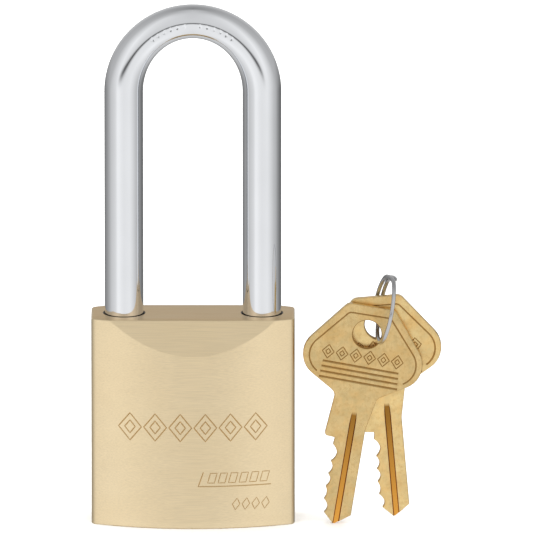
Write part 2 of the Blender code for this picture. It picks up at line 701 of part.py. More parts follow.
def make_screw():
    """Retaining screw, driven from the bottom of the toe bore into the top of the pin tower."""
    top = BORE_END_Z - PIN_STAND
    end = HOUSING_TOP - SCREW_BITE
    head_low = BORE_END_Z - SCREW_HEAD_HEIGHT
    radius, head = SCREW_DIAMETER / 2, SCREW_HEAD_DIAMETER / 2
    profile = [
        (0, top), (head - 0.0003, top), (head, top - 0.0003), (head, head_low),
        (radius, head_low), (radius, end + 0.0004), (radius - 0.0004, end), (0, end),
    ]
    screw = turned("cylinder_screw", profile, 20, STEEL)
    screw.location = (SCREW_X, 0, 0)
    slot = box(
        "screw_slot_cutter",
        (SCREW_X - SCREW_SLOT / 2, -2 * head, top - 0.6 * (top - head_low)),
        (SCREW_X + SCREW_SLOT / 2, 2 * head, top + 0.001),
        cutter=True,
    )
    boolean(screw, slot)
    return screw


def make_channel_plug():
    """Pressed pin that closes the cross-drilled ball channel on the toe side."""
    radius = CHANNEL_R - PIN_GAP
    start = LEG_X + BORE_R + 0.0003
    plug = cylinder("ball_channel_plug", radius, start, BODY_HALF - CYLINDER_RECESS, (0, -BALL_DEPTH), "X", 32, BRUSHED_BRASS)
    smooth(plug)
    return plug


# ---------------------------------------------------------------- keys and ring
def key_outline():
    """Bow, neck, stop shoulder and cut blade, seen from the front; the cut edge is at -v."""
    tip_u = SHOULDER_U - BLADE_LENGTH
    points = [
        (BOW_TOP_HALF, BOW_TOP, BOW_TOP_RADIUS),
        (-BOW_TOP_HALF, BOW_TOP, BOW_TOP_RADIUS),
        (-BOW_SIDE_V, BOW_SIDE_U, BOW_SIDE_RADIUS),
        (-NECK_HALF, NECK_TOP_U, NECK_RADIUS),
        (-SHOULDER_OUT, SHOULDER_U, 0.0008),
        (-BLADE_HALF, SHOULDER_U - 0.0002, 0.0003),
        (-BLADE_CUT_EDGE, SHOULDER_U - 0.0018, 0),
    ]
    for i, depth in enumerate(CUT_DEPTHS):
        u = SHOULDER_U - FIRST_PIN - i * PIN_PITCH
        half = CUT_ROOT_HALF + 1.1 * depth
        lip = min(half, 0.47 * PIN_PITCH)
        rise = depth - (half - lip) / 1.1
        points += [
            (-BLADE_CUT_EDGE + depth - rise, u + lip, 0),
            (-BLADE_CUT_EDGE + depth, u + CUT_ROOT_HALF, 0),
            (-BLADE_CUT_EDGE + depth, u - CUT_ROOT_HALF, 0),
        ]
        if i < PIN_COUNT - 1:
            points.append((-BLADE_CUT_EDGE + depth - rise, u - lip, 0))
    points += [
        (-BLADE_HALF + 0.0006, tip_u + TIP_LENGTH, 0),
        (TIP_V, tip_u, 0.0005),
        (BLADE_HALF, tip_u + 1.1 * TIP_LENGTH, 0.0004),
        (BLADE_HALF, SHOULDER_U + 0.0030, 0.0030),
        (NECK_HALF - 0.0002, NECK_TOP_U, NECK_RADIUS),
        (BOW_SIDE_V, BOW_SIDE_U, BOW_SIDE_RADIUS),
    ]
    return rounded(points, 6)


def make_key(name, x, y, z, lean):
    """A key plate standing in the XZ plane, its hole at (x, z), leaning by lean degrees to +X."""
    key = to_mesh(outline(name, key_outline(), KEY_THICKNESS), name, KEY_BRASS, flat=True)
    cutters = [cylinder(f"{name}_hole_cutter", KEY_HOLE_DIAMETER / 2, -0.005, 0.005, (0, 0), segments=28, cutter=True)]
    tip_u = SHOULDER_U - BLADE_LENGTH
    for side in (-1, 1):
        face = side * KEY_THICKNESS / 2
        cutters.append(
            box(
                f"{name}_groove_cutter_{'front' if side > 0 else 'back'}",
                (KEY_GROOVE_V - KEY_GROOVE_WIDTH / 2, tip_u - 0.002, min(face - side * KEY_GROOVE_DEPTH, face + side * 0.001)),
                (KEY_GROOVE_V + KEY_GROOVE_WIDTH / 2, SHOULDER_U + KEY_GROOVE_TOP, max(face - side * KEY_GROOVE_DEPTH, face + side * 0.001)),
                cutter=True,
            )
        )
    # The outline lies in XY with +Y up the key: stand it up, then lean it about the hole.
    stand = Matrix.Translation((x, y, z)) @ Matrix.Rotation(math.radians(lean), 4, "Y") @ Matrix.Rotation(math.pi / 2, 4, "X")
    for cutter in cutters:
        cutter.matrix_world = stand @ cutter.matrix_world
        boolean(key, cutter)
    key.matrix_world = stand
    smooth(key, 25)
    return key


def front_key_z():
    """Height of the front key's hole that stands its tip on the base plane."""
    lean = math.radians(FRONT_KEY_LEAN)
    lowest = min(-v * math.sin(lean) + u * math.cos(lean) for v, u in key_outline())
    return -BODY_HEIGHT - lowest


def ring_matrix():
    """Local X up the ring's plane, local Y out to the front in it, local Z along the ring's axis."""
    lean, yaw = math.radians(RING_LEAN), math.radians(RING_YAW)
    up = Vector((math.sin(lean), 0.0, math.cos(lean)))
    out = Vector((math.sin(yaw), -math.cos(yaw), 0.0))
    out = (out - up * out.dot(up)).normalized()
    axis = up.cross(out)
    turn = Matrix((up, out, axis)).transposed().to_4x4()
    return Matrix.Translation(RING_CENTRE) @ turn


def ease(value):
    value = min(1.0, max(0.0, value))
    return value * value * (3 - 2 * value)


def make_ring():
    """One turn and a third of flattened wire: a single strand at the front, two side by side at the back."""
    half_w, half_h, cut = RING_WIRE_WIDTH / 2, RING_WIRE_HEIGHT / 2, RING_WIRE_WIDTH / 4
    section = bpy.data.curves.new("ring_wire_section", "CURVE")
    section.dimensions = "2D"
    spline = section.splines.new("POLY")
    corners = rounded([(-half_h, half_w, cut), (half_h, half_w, cut), (half_h, -half_w, cut), (-half_h, -half_w, cut)], 1)
    spline.points.add(len(corners) - 1)
    for point, (x, y) in zip(spline.points, corners):
        point.co = (x, y, 0, 1)
    spline.use_cyclic_u = True
    guide = bpy.data.objects.new("ring_wire_section", section)
    bpy.context.scene.collection.objects.link(guide)
    place(guide, "ring_wire_section", cutter=True)

    count = 56
    apart = RING_WIRE_WIDTH + RING_COIL_GAP
    points = []
    for k in range(count + 1):
        along = RING_ARC * k / count
        angle = math.radians(RING_START - along)
        back = max(0.0, -math.sin(angle)) ** 1.5 if along > 360 else 0.0
        first = (apart - RING_SHIFT * ease((along + 10) / 40)) * (1 - ease((along - 110) / 80))
        second = RING_SHIFT * ease((along - 350) / 40) + RING_SPLAY * back
        points.append((RING_RADIUS * math.cos(angle), RING_RADIUS * math.sin(angle), first - second))
    ring = wire("split_ring", points, RING_WIRE_HEIGHT, 1, STEEL)
    ring.data.twist_mode = "Z_UP"
    ring.data.bevel_mode = "OBJECT"
    ring.data.bevel_object = guide
    ring.matrix_world = ring_matrix()
    return ring


def group(name, members):
    empty = bpy.data.objects.new(name, None)
    empty.empty_display_size = 0.01
    PARTS.objects.link(empty)
    for member in members:
        member.parent = empty
    return empty


def main():
    body = make_body()
    shackle = make_shackle()
    spring = make_shackle_spring()
    toe_ball = ball("toe_ball", (TOE_BALL_X, 0, -BALL_DEPTH), STEEL)
    heel_ball = ball("heel_ball", (-HEEL_BALL_X, 0, -BALL_DEPTH), STEEL)
    for sphere in (toe_ball, heel_ball):
        sphere.data.shade_smooth()
    cam = make_cam()
    housing = make_housing()
    plug = make_plug()
    key_pins = [make_key_pin(i) for i in range(PIN_COUNT)]
    drivers = [make_driver_pin(i) for i in range(PIN_COUNT)]
    springs = [make_pin_spring(i) for i in range(PIN_COUNT)]
    fixed = [make_cover(), make_clip(), make_screw(), make_channel_plug()]
    front = make_key("front_key", FRONT_KEY_X, FRONT_KEY_Y, front_key_z(), FRONT_KEY_LEAN)
    rear_y = FRONT_KEY_Y + KEY_THICKNESS + KEY_STACK_GAP
    rear = make_key("rear_key", REAR_KEY_X, rear_y, REAR_KEY_Z, REAR_KEY_LEAN)
    ring = make_ring()

    lock = group("lock", [body, spring, toe_ball, heel_ball, housing, *drivers, *springs, *fixed])
    group("lifting_shackle", [shackle]).parent = lock
    group("turning_plug", [plug, *key_pins]).parent = lock
    group("turning_cam", [cam]).parent = lock
    group("key_set", [front, rear, ring])


if __name__ == "__main__":
    main()
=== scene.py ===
"""Looks of a brass padlock with a long chromed shackle and its two keys on a split ring.

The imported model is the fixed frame. Every new piece is worked out in metres in that frame: +Z up,
+X toward the toe leg, -Y out of the front, origin at the centre of the body's top face.
"""

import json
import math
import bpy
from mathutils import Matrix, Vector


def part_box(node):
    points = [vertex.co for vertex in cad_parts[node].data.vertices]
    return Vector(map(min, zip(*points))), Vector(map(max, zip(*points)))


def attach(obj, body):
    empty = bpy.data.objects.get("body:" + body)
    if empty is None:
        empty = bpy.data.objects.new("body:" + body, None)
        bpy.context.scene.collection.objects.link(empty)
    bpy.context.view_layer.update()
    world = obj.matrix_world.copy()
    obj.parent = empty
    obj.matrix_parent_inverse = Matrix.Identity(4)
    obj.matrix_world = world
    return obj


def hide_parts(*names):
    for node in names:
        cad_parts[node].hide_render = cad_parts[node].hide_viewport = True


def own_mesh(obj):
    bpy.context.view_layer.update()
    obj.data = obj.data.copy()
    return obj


bl_info = {
    "name": "Brass Padlock",
    "version": (1, 0, 0),
    "blender": (4, 5, 0),
    "location": "View3D > Sidebar > Padlock",
    "description": "Builds the visible pieces of a brass padlock and its keys around a packed model",
    "category": "Object",
}

import bmesh
import bpy
import numpy as np
from bpy.props import FloatProperty, FloatVectorProperty, IntProperty, PointerProperty
from mathutils import Matrix, Vector

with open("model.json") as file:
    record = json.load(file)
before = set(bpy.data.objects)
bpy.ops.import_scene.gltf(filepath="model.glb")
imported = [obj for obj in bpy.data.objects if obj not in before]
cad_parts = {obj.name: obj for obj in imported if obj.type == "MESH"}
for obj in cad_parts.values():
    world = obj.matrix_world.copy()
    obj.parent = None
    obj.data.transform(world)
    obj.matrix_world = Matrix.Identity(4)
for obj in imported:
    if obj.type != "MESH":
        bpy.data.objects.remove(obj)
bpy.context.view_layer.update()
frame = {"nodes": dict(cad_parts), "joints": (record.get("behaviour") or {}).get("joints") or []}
BODY_LOW, BODY_HIGH = (np.array(corner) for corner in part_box("body"))
FRONT_KEY_BOX = [np.array(corner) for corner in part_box("front_key")]
REAR_KEY_BOX = [np.array(corner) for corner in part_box("rear_key")]
JOINTS = {joint["name"]: joint for joint in frame["joints"]}
MM = 0.001

# Places and sizes of the works that the visible pieces have to match.
BORE_GAP = 0.0002
TOE_BORE_END, HEEL_BORE_END = -0.0152, -0.046
CHANNEL_RADIUS = 0.00415
CHAMBER_RADIUS, CHAMBER_TOP = 0.0073, -0.0035
OPENING_TOP = -0.029
SCREW_X, SCREW_RADIUS, SCREW_HEAD_RADIUS, SCREW_SEAT = 0.0146, 0.00162, 0.00242, -0.0168
BALL_DEPTH = 0.008
NOTCH_RADIUS = 0.0042
LOCKED_BALL_X = 0.0110549
HEEL_GROOVE_X = 0.0097551
NECK_Z = -0.0235
NECK_LINE = 0.0075199

BRUSHED_ALONG_X, BRUSHED_ALONG_Y = 0, 1
ROUND_SIDES = 96


def length(name, description, value):
    return FloatProperty(name=name, description=description, default=value, unit="LENGTH", precision=5)


def tilt(name, description, degrees):
    return FloatProperty(name=name, description=description, default=math.radians(degrees), subtype="ANGLE")


def colour(name, description, value):
    return FloatVectorProperty(name=name, description=description, default=value, subtype="COLOR", size=3, min=0, max=1)


# ---------------- settings
class PadlockBodySettings(bpy.types.PropertyGroup):
    half_width: length("Half width", "Half the width of the body", float(BODY_HIGH[0]))
    height: length("Height", "Height of the body", float(-BODY_LOW[2]))
    half_depth: length("Half depth", "Half the depth over the two crowns", float(BODY_HIGH[1]))
    crown_radius: length("Crown radius", "Plan radius of the front and back faces", 0.062)
    corner_radius: length("Corner radius", "Radius of the upright corners", 0.0018)
    edge_radius: length("Edge radius", "Radius of the top and bottom edges", 0.00045)
    bevel_drop: length("Bevel drop", "Height of the slanted flat under the top edge", 0.0085)
    bevel_inset: length("Bevel inset", "How far the slanted flat leans back", 0.0036)
    cut_width: length("Engraving width", "Width of the engraved lines", 0.00034)
    cut_depth: length("Engraving depth", "Depth of the engraved lines", 0.00017)


class PadlockShackleSettings(bpy.types.PropertyGroup):
    leg_x: length("Leg place", "Distance of each leg's axis from the middle", 0.017275)
    leg_radius: length("Leg radius", "Radius of the bar in the legs", 0.00485)
    crown_thickness: length("Crown thickness", "Thickness of the bar where it is bent", 0.0085)
    crown_inner: length("Crown inner radius", "Inner radius of the bend at its top", 0.01365)
    arch_z: length("Bend height", "Height at which the bend starts", 0.05685)
    toe_depth: length("Toe depth", "How far the toe leg stands in the body", 0.0145)
    heel_depth: length("Heel depth", "How far the heel leg stands in the body", 0.030)
    rings: IntProperty(name="Rings", description="Sections along the bend", default=120, min=24)


class PadlockKeySettings(bpy.types.PropertyGroup):
    thickness: length("Thickness", "Thickness of a key", 0.0018)
    hole_radius: length("Hole radius", "Radius of the hole in the bow", 0.0036)
    front_lean: tilt("Front lean", "Lean of the front key", 9.35)
    rear_lean: tilt("Rear lean", "Lean of the rear key", -5.0)
    chamfer: length("Chamfer", "Width of the broken edges", 0.00016)


class PadlockRingSettings(bpy.types.PropertyGroup):
    radius: length("Radius", "Radius to the middle of the wire", 0.0083)
    wire_height: length("Wire height", "Wire size measured out from the centre", 0.0010)
    wire_width: length("Wire width", "Wire size measured along the ring's axis", 0.00092)
    arc: tilt("Arc", "Angle that the wire runs through", 480)
    lean: tilt("Lean", "Lean of the ring to the right", 11.8)
    yaw: tilt("Yaw", "Turn of the ring about the upright", 8.3)


class PadlockFinishSettings(bpy.types.PropertyGroup):
    body_brass: colour("Body brass", "Brushed brass of the body", (0.93, 0.765, 0.50))
    key_brass: colour("Key brass", "Brass of the keys", (0.88, 0.64, 0.30))
    # The groove brass is also the base of the painted shade in the keys' cut lines, hole lips and groove side walls.
    groove_brass: colour("Groove brass", "Brass in the milled grooves", (0.66, 0.31, 0.055))
    cylinder_brass: colour("Cylinder brass", "Turned brass of the lock cylinder", (0.78, 0.60, 0.33))
    chrome: colour("Chrome", "Plating of the shackle", (0.86, 0.875, 0.90))
    steel: colour("Steel", "Balls, springs, screw and clip", (0.55, 0.55, 0.57))
    ring_steel: colour("Ring steel", "Nickel plate of the split ring", (0.60, 0.60, 0.61))


class PadlockStageSettings(bpy.types.PropertyGroup):
    elevation: tilt("Elevation", "Camera height above the horizon", 13.3)
    distance: length("Distance", "Camera distance", 4.0)
    lens: FloatProperty(name="Lens", description="Focal length in millimetres", default=1072.6, min=10)
    target: FloatVectorProperty(
        name="Target", description="Point in the middle of the view",
        default=(0.01878, 0.0, 0.01147), subtype="XYZ", unit="LENGTH",
    )
    world: FloatProperty(name="Room light", description="Strength of the even light on the floor", default=1.7, min=0)
    tent_radius: length("Tent radius", "Radius of the light tent that reflections see", 1.5)


# ---------------- mesh tools
def grid_quads(rows, columns, wrap_columns=False, offset=0):
    """Quads of a rows by columns grid, row by row; wrap joins the last column to the first."""
    last = columns if wrap_columns else columns - 1
    r, c = np.meshgrid(np.arange(rows - 1), np.arange(last), indexing="ij")
    n = (c + 1) % columns
    quads = np.stack([r * columns + c, r * columns + n, (r + 1) * columns + n, (r + 1) * columns + c], -1)
    return quads.reshape(-1, 4) + offset


def mesh_from(name, points, quads, loops=()):
    """A mesh from points, quads and whole loops of point numbers, welded, with its faces turned outwards."""
    mesh = bpy.data.meshes.new(name)
    faces = [tuple(q) for q in quads.tolist()] + [tuple(int(i) for i in loop) for loop in loops]
    mesh.from_pydata(points.reshape(-1, 3).tolist(), [], faces)
    work = bmesh.new()
    work.from_mesh(mesh)
    bmesh.ops.remove_doubles(work, verts=work.verts, dist=1e-7)
    bmesh.ops.recalc_face_normals(work, faces=work.faces)
    work.to_mesh(mesh)
    work.free()
    return mesh


def tube(name, points):
    """A closed solid from a grid of points: each row runs round it, and the first and last row are closed flat."""
    rows, columns = points.shape[:2]
    ends = (range(columns), range((rows - 1) * columns, rows * columns))
    return mesh_from(name, points, grid_quads(rows, columns, True), ends)


def unit(vectors):
    return vectors / np.linalg.norm(vectors, axis=1)[:, None]


def object_from(name, mesh):
    obj = bpy.data.objects.new(name, mesh)
    bpy.context.scene.collection.objects.link(obj)
    return obj


def sweep(name, path, section, across, up, closed=False):
    """A solid carried along a path: point = path + section_a * across + section_b * up, for arrays of unit vectors."""
    a, b = section[:, 0], section[:, 1]
    points = path[:, None, :] + a[None, :, None] * across[:, None, :] + b[None, :, None] * up[:, None, :]
    if closed:
        rows, columns = points.shape[:2]
        points = np.concatenate([points, points[:1]])
        return mesh_from(name, points, grid_quads(rows + 1, columns, True))
    return tube(name, points)


def turned(name, profile, segments, place):
    """A solid turned about local Z from (radius, height) rows: x = r cos a, y = r sin a; ends are closed flat."""
    r, z = np.array(profile, float).T
    a = np.linspace(0, 2 * np.pi, segments, endpoint=False)
    points = np.stack([np.outer(r, np.cos(a)), np.outer(r, np.sin(a)), np.repeat(z[:, None], segments, 1)], -1)
    mesh = tube(name, points)
    mesh.transform(place)
    return mesh


def join_meshes(name, meshes):
    """Several separate closed meshes as one."""
    work = bmesh.new()
    for mesh in meshes:
        work.from_mesh(mesh)
    joined = bpy.data.meshes.new(name)
    work.to_mesh(joined)
    work.free()
    return joined


def cut(obj, meshes, solver="MANIFOLD"):
    """Subtracts closed meshes from obj and keeps the result as its mesh."""
    helpers = []
    for mesh in meshes:
        helper = object_from(mesh.name, mesh)
        helpers.append(helper)
        modifier = obj.modifiers.new(mesh.name, "BOOLEAN")
        modifier.operation = "DIFFERENCE"
        modifier.solver = solver
        modifier.object = helper
    bpy.context.view_layer.update()
    made = bpy.data.meshes.new_from_object(obj.evaluated_get(bpy.context.evaluated_depsgraph_get()))
    if not made.polygons:
        raise RuntimeError(f"cutting {obj.name} left nothing")
    obj.modifiers.clear()
    obj.data = made
    made.name = obj.name
    for helper in helpers:
        bpy.data.objects.remove(helper, do_unlink=True)


def vertex_array(mesh):
    co = np.empty(len(mesh.vertices) * 3, np.float32)
    mesh.vertices.foreach_get("co", co)
    return co.reshape(-1, 3).astype(float)


def face_array(mesh, name):
    values = np.empty(len(mesh.polygons) * 3, np.float32)
    mesh.polygons.foreach_get(name, values)
    return values.reshape(-1, 3).astype(float)


def set_attribute(mesh, name, values, domain="POINT"):
    attribute = mesh.attributes.new(name, "FLOAT", domain)
    attribute.data.foreach_set("value", np.asarray(values, np.float32))


def finish_piece(obj, mat, body, nodes, degrees=30):
    obj.data.materials.clear()
    obj.data.materials.append(mat)
    obj.data.shade_smooth()
    obj.data.set_sharp_from_angle(angle=math.radians(degrees))
    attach(obj, body)
    if nodes:
        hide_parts(*nodes)


def rounded_outline(corners, steps=8):
    """Corner points (a, b, radius) to an outline whose corners are arcs tangent to both sides."""
    result = []
    for i, (x, y, radius) in enumerate(corners):
        if radius <= 0:
            result.append((x, y))
            continue
        here = np.array((x, y))
        to_last, to_next = np.array(corners[i - 1][:2]) - here, np.array(corners[(i + 1) % len(corners)][:2]) - here
        la, lb = np.linalg.norm(to_last), np.linalg.norm(to_next)
        to_last, to_next = to_last / la, to_next / lb
        between = math.acos(float(np.clip(to_last @ to_next, -1, 1)))
        reach = min(radius / math.tan(between / 2), 0.48 * la, 0.48 * lb)
        radius = reach * math.tan(between / 2)
        middle = (to_last + to_next) / np.linalg.norm(to_last + to_next)
        centre = here + middle * radius / math.sin(between / 2)
        first, last = here + to_last * reach - centre, here + to_next * reach - centre
        start, end = math.atan2(first[1], first[0]), math.atan2(last[1], last[0])
        turn = (end - start + math.pi) % (2 * math.pi) - math.pi
        angles = start + turn * np.linspace(0, 1, steps + 1)
        result += list(zip(centre[0] + radius * np.cos(angles), centre[1] + radius * np.sin(angles)))
    return np.array(result)


def inset_outline(points, distance):
    """The closed outline moved inwards by distance along the mean normal of its two sides at each point."""
    before, after = points - np.roll(points, 1, 0), np.roll(points, -1, 0) - points
    before, after = unit(before), unit(after)
    tangent = unit(before + after)
    area = np.sum(points[:, 0] * np.roll(points[:, 1], -1) - np.roll(points[:, 0], -1) * points[:, 1])
    inward = np.stack([-tangent[:, 1], tangent[:, 0]], -1) * np.sign(area)
    widen = 1 / np.clip(np.sum(tangent * after, 1), 0.6, 1)
    return points + inward * (distance * widen)[:, None]


# ---------------- materials
class Nodes:
    """Small helper that adds nodes to one material and links them."""

    def __init__(self, name):
        self.mat = bpy.data.materials.new(name)
        self.mat.use_nodes = True
        self.tree = self.mat.node_tree
        self.shader = self.tree.nodes["Principled BSDF"]

    def feed(self, socket, value):
        if isinstance(value, bpy.types.NodeSocket):
            self.tree.links.new(value, socket)
        else:
            socket.default_value = value

    def add(self, kind, inputs=None, **settings):
        node = self.tree.nodes.new(kind)
        for key, value in settings.items():
            setattr(node, key, value)
        for key, value in (inputs or {}).items():
            self.feed(node.inputs[key], value)
        return node

    def set(self, **values):
        for key, value in values.items():
            self.feed(self.shader.inputs[key.replace("_", " ")], value)

    def coordinates(self, scale, turn=(0, 0, 0), place=(0, 0, 0)):
        """Object coordinates, moved, turned and scaled."""
        source = self.add("ShaderNodeTexCoord").outputs["Object"]
        inputs = {"Vector": source, "Location": place, "Rotation": turn, "Scale": scale}
        return self.add("ShaderNodeMapping", inputs).outputs["Vector"]

    def noise(self, vector, scale, detail=2.0, roughness=0.5):
        inputs = {"Vector": vector, "Scale": scale, "Detail": detail, "Roughness": roughness}
        return self.add("ShaderNodeTexNoise", inputs).outputs["Fac"]

    def attribute(self, name):
        return self.add("ShaderNodeAttribute", attribute_name=name).outputs["Fac"]

    def range(self, value, low, high, start=0.25, end=0.75):
        return self.add(
            "ShaderNodeMapRange", {"Value": value, "From Min": start, "From Max": end, "To Min": low, "To Max": high}
        ).outputs["Result"]

    def mix(self, factor, a, b):
        node = self.add("ShaderNodeMix", data_type="RGBA")
        for socket, value in ((0, factor), (6, a), (7, b)):
            self.feed(node.inputs[socket], value)
        return node.outputs[2]

    def bump(self, height, strength, distance, normal=None):
        inputs = {"Height": height, "Strength": strength, "Distance": distance}
        if normal is not None:
            inputs["Normal"] = normal
        return self.add("ShaderNodeBump", inputs).outputs["Normal"]


def shade(rgb, share):
    return (*(min(1.0, c * share) for c in rgb), 1.0)


def tint(rgb, *shares):
    """The colour with each of its three values multiplied by a share of its own."""
    return (*(c * s for c, s in zip(rgb, shares)), 1.0)


def brushed_metal(name, rgb, along, roughness=0.33, streak=0.07, depth=4e-6, anisotropy=0.0):
    """Metal brushed along one axis: noise stretched along it sets colour, roughness and a shallow relief.
    The groove attribute paints a darker brown shade into what is cut in, and a face attribute paints near-black shade
    into the mouths of the bores."""
    n = Nodes(name)
    fine, broad = (tuple(share if axis == along else 1.0 for axis in range(3)) for share in (0.02, 0.12))
    lines = n.noise(n.coordinates(fine), 5200, 3.0, 0.6)
    bands = n.noise(n.coordinates(broad), 420, 2.0)
    clouds = n.noise(n.coordinates((1, 1, 1)), 55, 3.0)
    grain = n.mix(n.range(lines, 0, 1, 0.3, 0.7), shade(rgb, 1 - streak), shade(rgb, 1 + streak))
    tone = n.mix(n.range(clouds, 0.0, 0.35), grain, tint(rgb, 1.03, 0.985, 0.9))
    # Painted shade: the cut lines get a darker, browner colour.
    cut_colour_and_shade = n.mix(n.range(n.attribute("groove"), 0.0, 0.75, 0.0, 1.0), tone, tint(rgb, 0.62, 0.52, 0.38))
    # Painted shade: near-black colour in the mouths of the bores.
    base = n.mix(n.attribute("painted_wall_shade"), cut_colour_and_shade, shade(rgb, 0.05))
    rough = n.range(bands, roughness - 0.04, roughness + 0.05)
    relief = n.bump(lines, 0.35, depth, n.bump(bands, 0.2, depth * 2))
    n.set(Base_Color=base, Metallic=1.0, Roughness=rough, Normal=relief)
    n.set(Anisotropic=anisotropy, Anisotropic_Rotation=0.25)
    return n.mat


def key_metal(name, rgb, groove_rgb, turn):
    """Stamped brass: fine grain along the key and blotches of warmer and greener metal. Where the groove attribute says
    the metal is cut it is an orange brown with painted shade, bright low on the key and dark brown higher up, and a
    face attribute paints dark brown shade on the side walls of the milled groove."""
    n = Nodes(name)
    grain = n.noise(n.coordinates((1, 1, 0.06), turn), 4200, 3.0, 0.6)
    clouds = n.noise(n.coordinates((1, 1, 1)), 190, 4.0, 0.6)
    patches = n.noise(n.coordinates((1, 1, 1), place=(0.3, 0.1, 0.2)), 420, 3.0, 0.6)
    spots = n.noise(n.coordinates((1, 1, 1), place=(0.03, 0.01, 0.02)), 1500, 3.0)
    fine = n.noise(n.coordinates((1, 1, 1), place=(0.11, 0.07, 0.05)), 1100, 3.0, 0.65)
    tone = n.mix(n.range(grain, 0, 1, 0.3, 0.7), shade(rgb, 0.96), shade(rgb, 1.08))
    warm = n.mix(n.range(clouds, 0.0, 0.75, 0.42, 0.66), tone, tint(rgb, 0.98, 0.86, 0.68))
    green = n.mix(n.range(patches, 0.0, 0.7, 0.42, 0.68), warm, tint(rgb, 0.82, 0.86, 0.88))
    worn = n.mix(n.range(fine, 0.0, 0.55, 0.48, 0.72), green, tint(rgb, 0.74, 0.66, 0.55))
    height = n.add("ShaderNodeSeparateXYZ", {"Vector": n.coordinates((1, 1, 1))}).outputs["Z"]
    # Painted shade: the cut colour darkens from a bright orange brown low on the key to dark brown higher up.
    groove_colour_and_shade = n.mix(n.range(height, 1.0, 0.0, -0.052, -0.020), shade(groove_rgb, 0.42), shade(groove_rgb, 1.4))
    cut_colour_and_shade = n.mix(n.attribute("groove"), worn, groove_colour_and_shade)
    # Painted shade: dark brown on the side walls of the milled groove.
    base = n.mix(n.attribute("painted_wall_shade"), cut_colour_and_shade, tint(groove_rgb, 0.42, 0.26, 0.12))
    rough = n.range(clouds, 0.25, 0.36)
    relief = n.bump(spots, 0.22, 1.2e-5, n.bump(clouds, 0.25, 3e-5, n.bump(grain, 0.25, 4e-6)))
    n.set(Base_Color=base, Metallic=1.0, Roughness=rough, Normal=relief)
    return n.mat


def plated_metal(name, rgb, roughness, haze=0.03):
    """Polished plating: a little cloudiness in the gloss and a faint orange-peel relief."""
    n = Nodes(name)
    clouds = n.noise(n.coordinates((1, 1, 0.5)), 130, 3.0)
    peel = n.noise(n.coordinates((1, 1, 1)), 900, 2.0)
    tone = n.mix(n.range(clouds, 0, 1), shade(rgb, 0.97), shade(rgb, 1.03))
    gloss = n.range(clouds, roughness, roughness + haze)
    n.set(Base_Color=tone, Metallic=1.0, Roughness=gloss, Normal=n.bump(peel, 0.06, 1e-5))
    return n.mat


def turned_metal(name, rgb, roughness=0.3):
    """Lathe-turned face: fine rings about the lock cylinder's upright axis."""
    n = Nodes(name)
    vector = n.coordinates((1, 1, 1))
    rings = n.add(
        "ShaderNodeTexWave", {"Vector": vector, "Scale": 1300.0, "Distortion": 0.6, "Detail": 2.0},
        wave_type="RINGS", rings_direction="Z",
    ).outputs["Fac"]
    clouds = n.noise(n.coordinates((1, 1, 1)), 220, 3.0)
    tone = n.mix(n.range(clouds, 0, 1), shade(rgb, 0.9), shade(rgb, 1.05))
    gloss = n.range(clouds, roughness, roughness + 0.1)
    n.set(Base_Color=tone, Metallic=1.0, Roughness=gloss, Normal=n.bump(rings, 0.3, 6e-6))
    return n.mat


# ---------------- body
def crown_depth(x, s):
    """Half depth of the crowned faces: h - R + sqrt(R^2 - x^2)."""
    return s.half_depth - s.crown_radius + np.sqrt(s.crown_radius**2 - np.square(x))


def body_hull(s):
    """The block as rows of a plan outline. Half depth at (x, z) is the lesser of the crown, h - R + sqrt(R^2 - x^2),
    and the slanted flat, h - i - i z / d; rows follow the crease between the two, and roll in at the top and base."""
    hw, hd, radius = s.half_width, s.half_depth, s.crown_radius
    drop, inset, er, cr = s.bevel_drop, s.bevel_inset, s.edge_radius, s.corner_radius
    slope = math.asin(hw / radius)
    inner_x = hw - cr + cr * math.sin(slope)
    centre_y = crown_depth(inner_x, s) - cr * math.cos(slope)
    front_x = np.linspace(-inner_x, inner_x, 110)
    steps = np.linspace(0, 1, 9)[1:]

    def corner(start, end, cx, cy):
        a = start + (end - start) * steps
        return cx + cr * np.cos(a), cy + cr * np.sin(a), np.cos(a), np.sin(a)

    def face(x, side):
        a = np.arcsin(x / radius)
        return x, side * crown_depth(x, s), np.sin(a), side * np.cos(a)

    pieces = [
        face(front_x, -1),
        corner(-math.pi / 2 + slope, 0, hw - cr, -centre_y),
        corner(0, math.pi / 2 - slope, hw - cr, centre_y),
        face(front_x[::-1][1:], 1),
        corner(math.pi / 2 + slope, math.pi, -(hw - cr), centre_y),
        tuple(v[:-1] for v in corner(math.pi, 3 * math.pi / 2 - slope, -(hw - cr), -centre_y)),
    ]
    x, y, nx, ny = (np.concatenate(v) for v in zip(*pieces))
    fixed = np.linspace(-s.height + er, -drop - 0.001, 26)
    crease = np.clip(-(crown_depth(x, s) - (hd - inset)) / inset * drop, -drop, -er - 0.0006)
    soft = 0.00022
    rows_z = [np.full_like(x, z) for z in fixed]
    rows_z += [fixed[-1] + (crease - soft - fixed[-1]) * t for t in np.linspace(0, 1, 8)[1:]]
    rows_z += [crease + soft * k for k in (-0.5, 0.0, 0.5, 1.0)]
    rows_z += [crease + soft + (-er - crease - soft) * t for t in np.linspace(0, 1, 8)[1:]]
    z = np.array(rows_z)
    # Smooth lesser of crown and flat: a h + b (1 - h) - k h (1 - h), so that the crease has a small radius.
    b, flat, k = np.abs(y)[None, :], hd - inset - inset * z / drop, 0.00006
    h = np.clip(0.5 + 0.5 * (b - flat) / k, 0, 1)
    depth = b * (1 - h) + flat * h - k * h * (1 - h)
    rows = np.stack([np.broadcast_to(x, z.shape), np.sign(y) * depth, z], -1)
    normal = np.stack([nx, ny], -1)
    low, high = [], []
    for t in np.linspace(0, math.pi / 2, 5)[1:]:
        for row, height, side, store in ((rows[0], -s.height + er, -1, low), (rows[-1], -er, 1, high)):
            ring = row.copy()
            ring[:, :2] -= normal * er * (1 - math.cos(t))
            ring[:, 2] = height + side * er * math.sin(t)
            store.append(ring)
    return tube("lock_body", np.concatenate([np.array(low[::-1]), rows, np.array(high)]))


